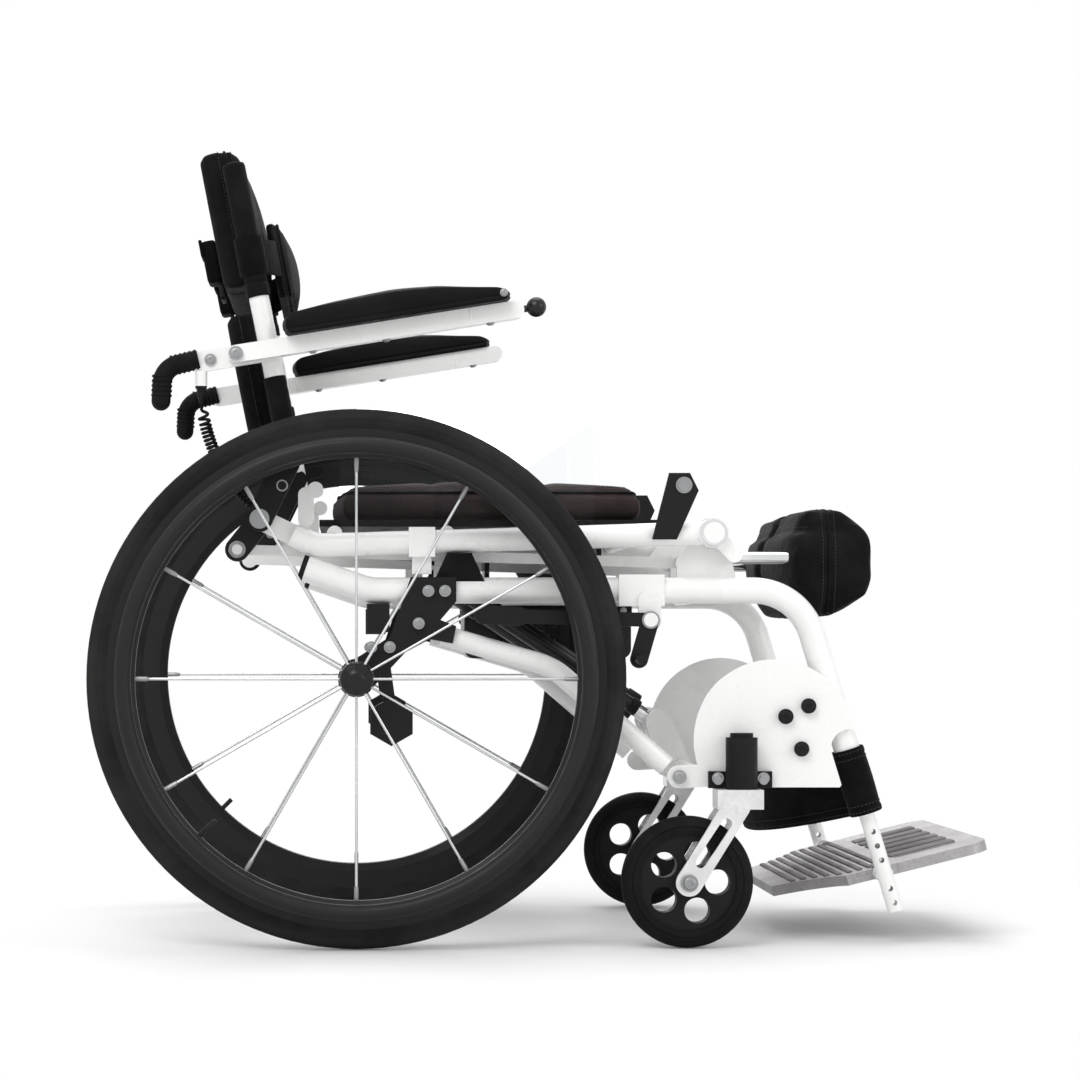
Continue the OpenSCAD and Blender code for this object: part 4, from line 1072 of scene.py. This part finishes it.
class CHAIR_OT_grips(bpy.types.Operator):
    """Finger ribs on the hooked push grips"""
    bl_idname = "chair.grips"
    bl_label = "Push grips"

    def execute(self, context):
        rib = [(10.2, -1.6), (11.7, -1.2), (12.1, 0), (11.7, 1.2), (10.2, 1.6)]
        pitch = 5
        bm = bmesh.new()
        ax, az = ARM_PIVOT
        legs = [((ax - 44, az - 4), (ax - 76, az - 11.8)), ((ax - 85.4, az - 21), (ax - 86.6, az - 48))]
        for s in (-1, 1):
            for (x0, z0), (x1, z1) in legs:
                way = Vector((x1 - x0, 0, z1 - z0))
                turn = Vector((0, 0, 1)).rotation_difference(way.normalized()).to_matrix().to_4x4()
                n = int(way.length / pitch)
                for k in range(n):
                    t = (k + 0.5) / n
                    spot = Matrix.Translation(at(x0 + way.x * t, s * GRIP_Y, z0 + way.z * t))
                    ring_of(bm, rib, spot @ turn, steps=28)
        piece("grip_ribs", bm, "grip_rubber", "backrest")
        return {"FINISHED"}


class CHAIR_OT_lift_trim(bpy.types.Operator):
    """Collars of the struts and the battery's lid, vents and screws"""
    bl_idname = "chair.lift_trim"
    bl_label = "Lift and battery"

    def execute(self, context):
        dip = 90 + math.degrees(math.atan2(LIFT_TOP[1] - LIFT_LOW[1], LIFT_LOW[0] - LIFT_TOP[0]))
        actuator = ((40, 58), (150, 154), (262, 279.6))
        spring = ((30, 42), (268, 279.6))
        bm = bmesh.new()
        for y, r, spans in ((-30, 16.5, actuator), (-75, 8.5, spring), (15, 8.5, spring)):
            place = turned(LIFT_TOP[0], y, LIFT_TOP[1], dip)
            for a, b in spans:
                collar = [(r - 0.6, a), (r + 1.0, a), (r + 1.6, a + 1),
                          (r + 1.6, b - 1), (r + 1.0, b), (r - 0.6, b)]
                ring_of(bm, collar, place, steps=36)
        piece("strut_collars", bm, "dull_plastic", "lift_tubes")
        low, high = at(*BATTERY[0]), at(*BATTERY[1])
        centre = Matrix.Translation((low + high) / 2)
        lid = Matrix.Translation(((low.x + high.x) / 2, (low.y + high.y) / 2, high.z)) @ shifted(0, 0, -6.6)
        bm = bmesh.new()
        block(bm, (209.6, 122.6, 13), lid, 3.2, 4)
        for s in (-1, 1):
            for k in range(9):
                block(bm, (4, 2.4, 30), centre @ shifted(-60 + 15 * k, s * 60.2, -6), 0.8, 2)
        piece("battery_trim", bm, "dull_plastic", "seat")
        bm = bmesh.new()
        for x in (-94, 94):
            for s in (-1, 1):
                socket_bolt(bm, lid @ shifted(x, s * 61.3, 0) @ tilted(-90 * s, "X"), 3, 1.4)
        piece("battery_screws", bm, "zinc_steel", "seat")
        return {"FINISHED"}


def background_rays(tree):
    """One for camera, glossy and transmission rays, which see the white surroundings, nought for the rest."""
    rays = tree.nodes.new("ShaderNodeLightPath")
    total = rays.outputs["Is Camera Ray"]
    for name in ("Is Glossy Ray", "Is Transmission Ray"):
        both = tree.nodes.new("ShaderNodeMath")
        both.operation = "MAXIMUM"
        tree.links.new(total, both.inputs[0])
        tree.links.new(rays.outputs[name], both.inputs[1])
        total = both.outputs["Value"]
    return total


def studio_floor(near, far):
    """A pale floor that takes the shadow near the chair and fades to the white surroundings further off."""
    mat = finish("floor_white", (0.88, 0.88, 0.88), 0.75)
    tree = mat.node_tree
    shader = tree.nodes["Principled BSDF"]
    place = tree.nodes.new("ShaderNodeTexCoord")
    reach = tree.nodes.new("ShaderNodeVectorMath")
    reach.operation = "LENGTH"
    tree.links.new(place.outputs["Object"], reach.inputs[0])
    fade = tree.nodes.new("ShaderNodeMapRange")
    fade.interpolation_type = "SMOOTHSTEP"
    fade.inputs["From Min"].default_value = near
    fade.inputs["From Max"].default_value = far
    tree.links.new(reach.outputs["Value"], fade.inputs["Value"])
    white = tree.nodes.new("ShaderNodeEmission")
    white.inputs["Strength"].default_value = 1
    seen = tree.nodes.new("ShaderNodeMath")
    seen.operation = "MULTIPLY"
    tree.links.new(fade.outputs["Result"], seen.inputs[0])
    tree.links.new(background_rays(tree), seen.inputs[1])
    mix = tree.nodes.new("ShaderNodeMixShader")
    tree.links.new(seen.outputs["Value"], mix.inputs["Fac"])
    tree.links.new(shader.outputs["BSDF"], mix.inputs[1])
    tree.links.new(white.outputs["Emission"], mix.inputs[2])
    tree.links.new(mix.outputs["Shader"], tree.nodes["Material Output"].inputs["Surface"])
    return mat


class CHAIR_OT_stage(bpy.types.Operator):
    """Floor, lights, white surroundings and the camera of the photo"""
    bl_idname = "chair.stage"
    bl_label = "Stage"

    def execute(self, context):
        scene, sizes = context.scene, chair().sizes
        bm = bmesh.new()
        bmesh.ops.create_grid(bm, x_segments=1, y_segments=1, size=sizes.floor / 2)
        mesh = bpy.data.meshes.new("floor")
        bm.to_mesh(mesh)
        bm.free()
        floor = bpy.data.objects.new("floor", mesh)
        floor.location.z = -FLOOR_GAP
        mesh.materials.append(studio_floor(near=0.55, far=1.1))
        scene.collection.objects.link(floor)
        for name, spot, aim, size, power in (
                ("key", (-1.3, -2.6, 2.9), (0, 0, 0.45), 2.2, 62),
                ("fill", (2.6, -1.9, 1.5), (0, 0, 0.5), 2.4, 26),
                ("top", (0.1, 0.4, 3.4), (0, 0, 0.4), 2.6, 40),
                ("back", (-0.4, 2.8, 1.7), (0, 0, 0.5), 2.4, 26)):
            lamp = bpy.data.lights.new(name, "AREA")
            lamp.shape = "DISK"
            lamp.size = size
            lamp.energy = power
            obj = bpy.data.objects.new(name, lamp)
            obj.location = spot
            obj.rotation_euler = (Vector(aim) - Vector(spot)).to_track_quat("-Z", "Y").to_euler()
            scene.collection.objects.link(obj)
        world = bpy.data.worlds.new("surroundings")
        scene.world = world
        world.use_nodes = True
        tree = world.node_tree
        tree.nodes.clear()
        out = tree.nodes.new("ShaderNodeOutputWorld")
        mix = tree.nodes.new("ShaderNodeMixShader")
        seen = tree.nodes.new("ShaderNodeBackground")
        soft = tree.nodes.new("ShaderNodeBackground")
        for white, strength in ((seen, 1), (soft, 0.55)):
            white.inputs["Color"].default_value = (1, 1, 1, 1)
            white.inputs["Strength"].default_value = strength
        tree.links.new(background_rays(tree), mix.inputs["Fac"])
        tree.links.new(soft.outputs["Background"], mix.inputs[1])
        tree.links.new(seen.outputs["Background"], mix.inputs[2])
        tree.links.new(mix.outputs["Shader"], out.inputs["Surface"])
        lens = bpy.data.cameras.new("photo_eye")
        lens.sensor_width = 36
        lens.lens = sizes.lens
        lens.shift_x = sizes.shift_x
        lens.shift_y = sizes.shift_y
        eye = bpy.data.objects.new("photo_eye", lens)
        eye.location = (AXLE_X, -WHEEL_Y - sizes.eye_distance, sizes.eye_height)
        eye.rotation_euler = (math.radians(90), 0, 0)
        scene.collection.objects.link(eye)
        scene.camera = eye
        scene.view_settings.view_transform = "Standard"
        return {"FINISHED"}


STEPS = (
    CHAIR_OT_finishes, CHAIR_OT_stage, CHAIR_OT_curly_cord, CHAIR_OT_tyres, CHAIR_OT_wheel_trim,
    CHAIR_OT_seat_cushion, CHAIR_OT_backrest, CHAIR_OT_arm_pads, CHAIR_OT_knee_pad, CHAIR_OT_calf_strap,
    CHAIR_OT_foot_mat, CHAIR_OT_bolts, CHAIR_OT_grips, CHAIR_OT_lift_trim,
)


class CHAIR_PT_panel(bpy.types.Panel):
    """Sidebar panel with the settings and every step"""
    bl_idname = "CHAIR_PT_panel"
    bl_label = "Standing wheelchair"
    bl_space_type = "VIEW_3D"
    bl_region_type = "UI"
    bl_category = "Chair"

    def draw(self, context):
        settings = context.scene.chair
        for group in (settings.finishes, settings.sizes):
            box = self.layout.box()
            for key in group.bl_rna.properties.keys():
                if key not in ("rna_type", "name"):
                    box.prop(group, key)
        for step in STEPS:
            self.layout.operator(step.bl_idname)


CLASSES = (ChairFinishes, ChairSizes, ChairSettings) + STEPS + (CHAIR_PT_panel,)


def register():
    for cls in CLASSES:
        bpy.utils.register_class(cls)
    bpy.types.Scene.chair = bpy.props.PointerProperty(type=ChairSettings)


def unregister():
    del bpy.types.Scene.chair
    for cls in reversed(CLASSES):
        bpy.utils.unregister_class(cls)


def main():
    register()
    bpy.ops.chair.finishes()
    bpy.ops.chair.stage()
    bpy.ops.chair.curly_cord()
    bpy.ops.chair.tyres()
    bpy.ops.chair.wheel_trim()
    bpy.ops.chair.seat_cushion()
    bpy.ops.chair.backrest()
    bpy.ops.chair.arm_pads()
    bpy.ops.chair.knee_pad()
    bpy.ops.chair.calf_strap()
    bpy.ops.chair.foot_mat()
    bpy.ops.chair.bolts()
    bpy.ops.chair.grips()
    bpy.ops.chair.lift_trim()


if __name__ == "__main__":
    main()
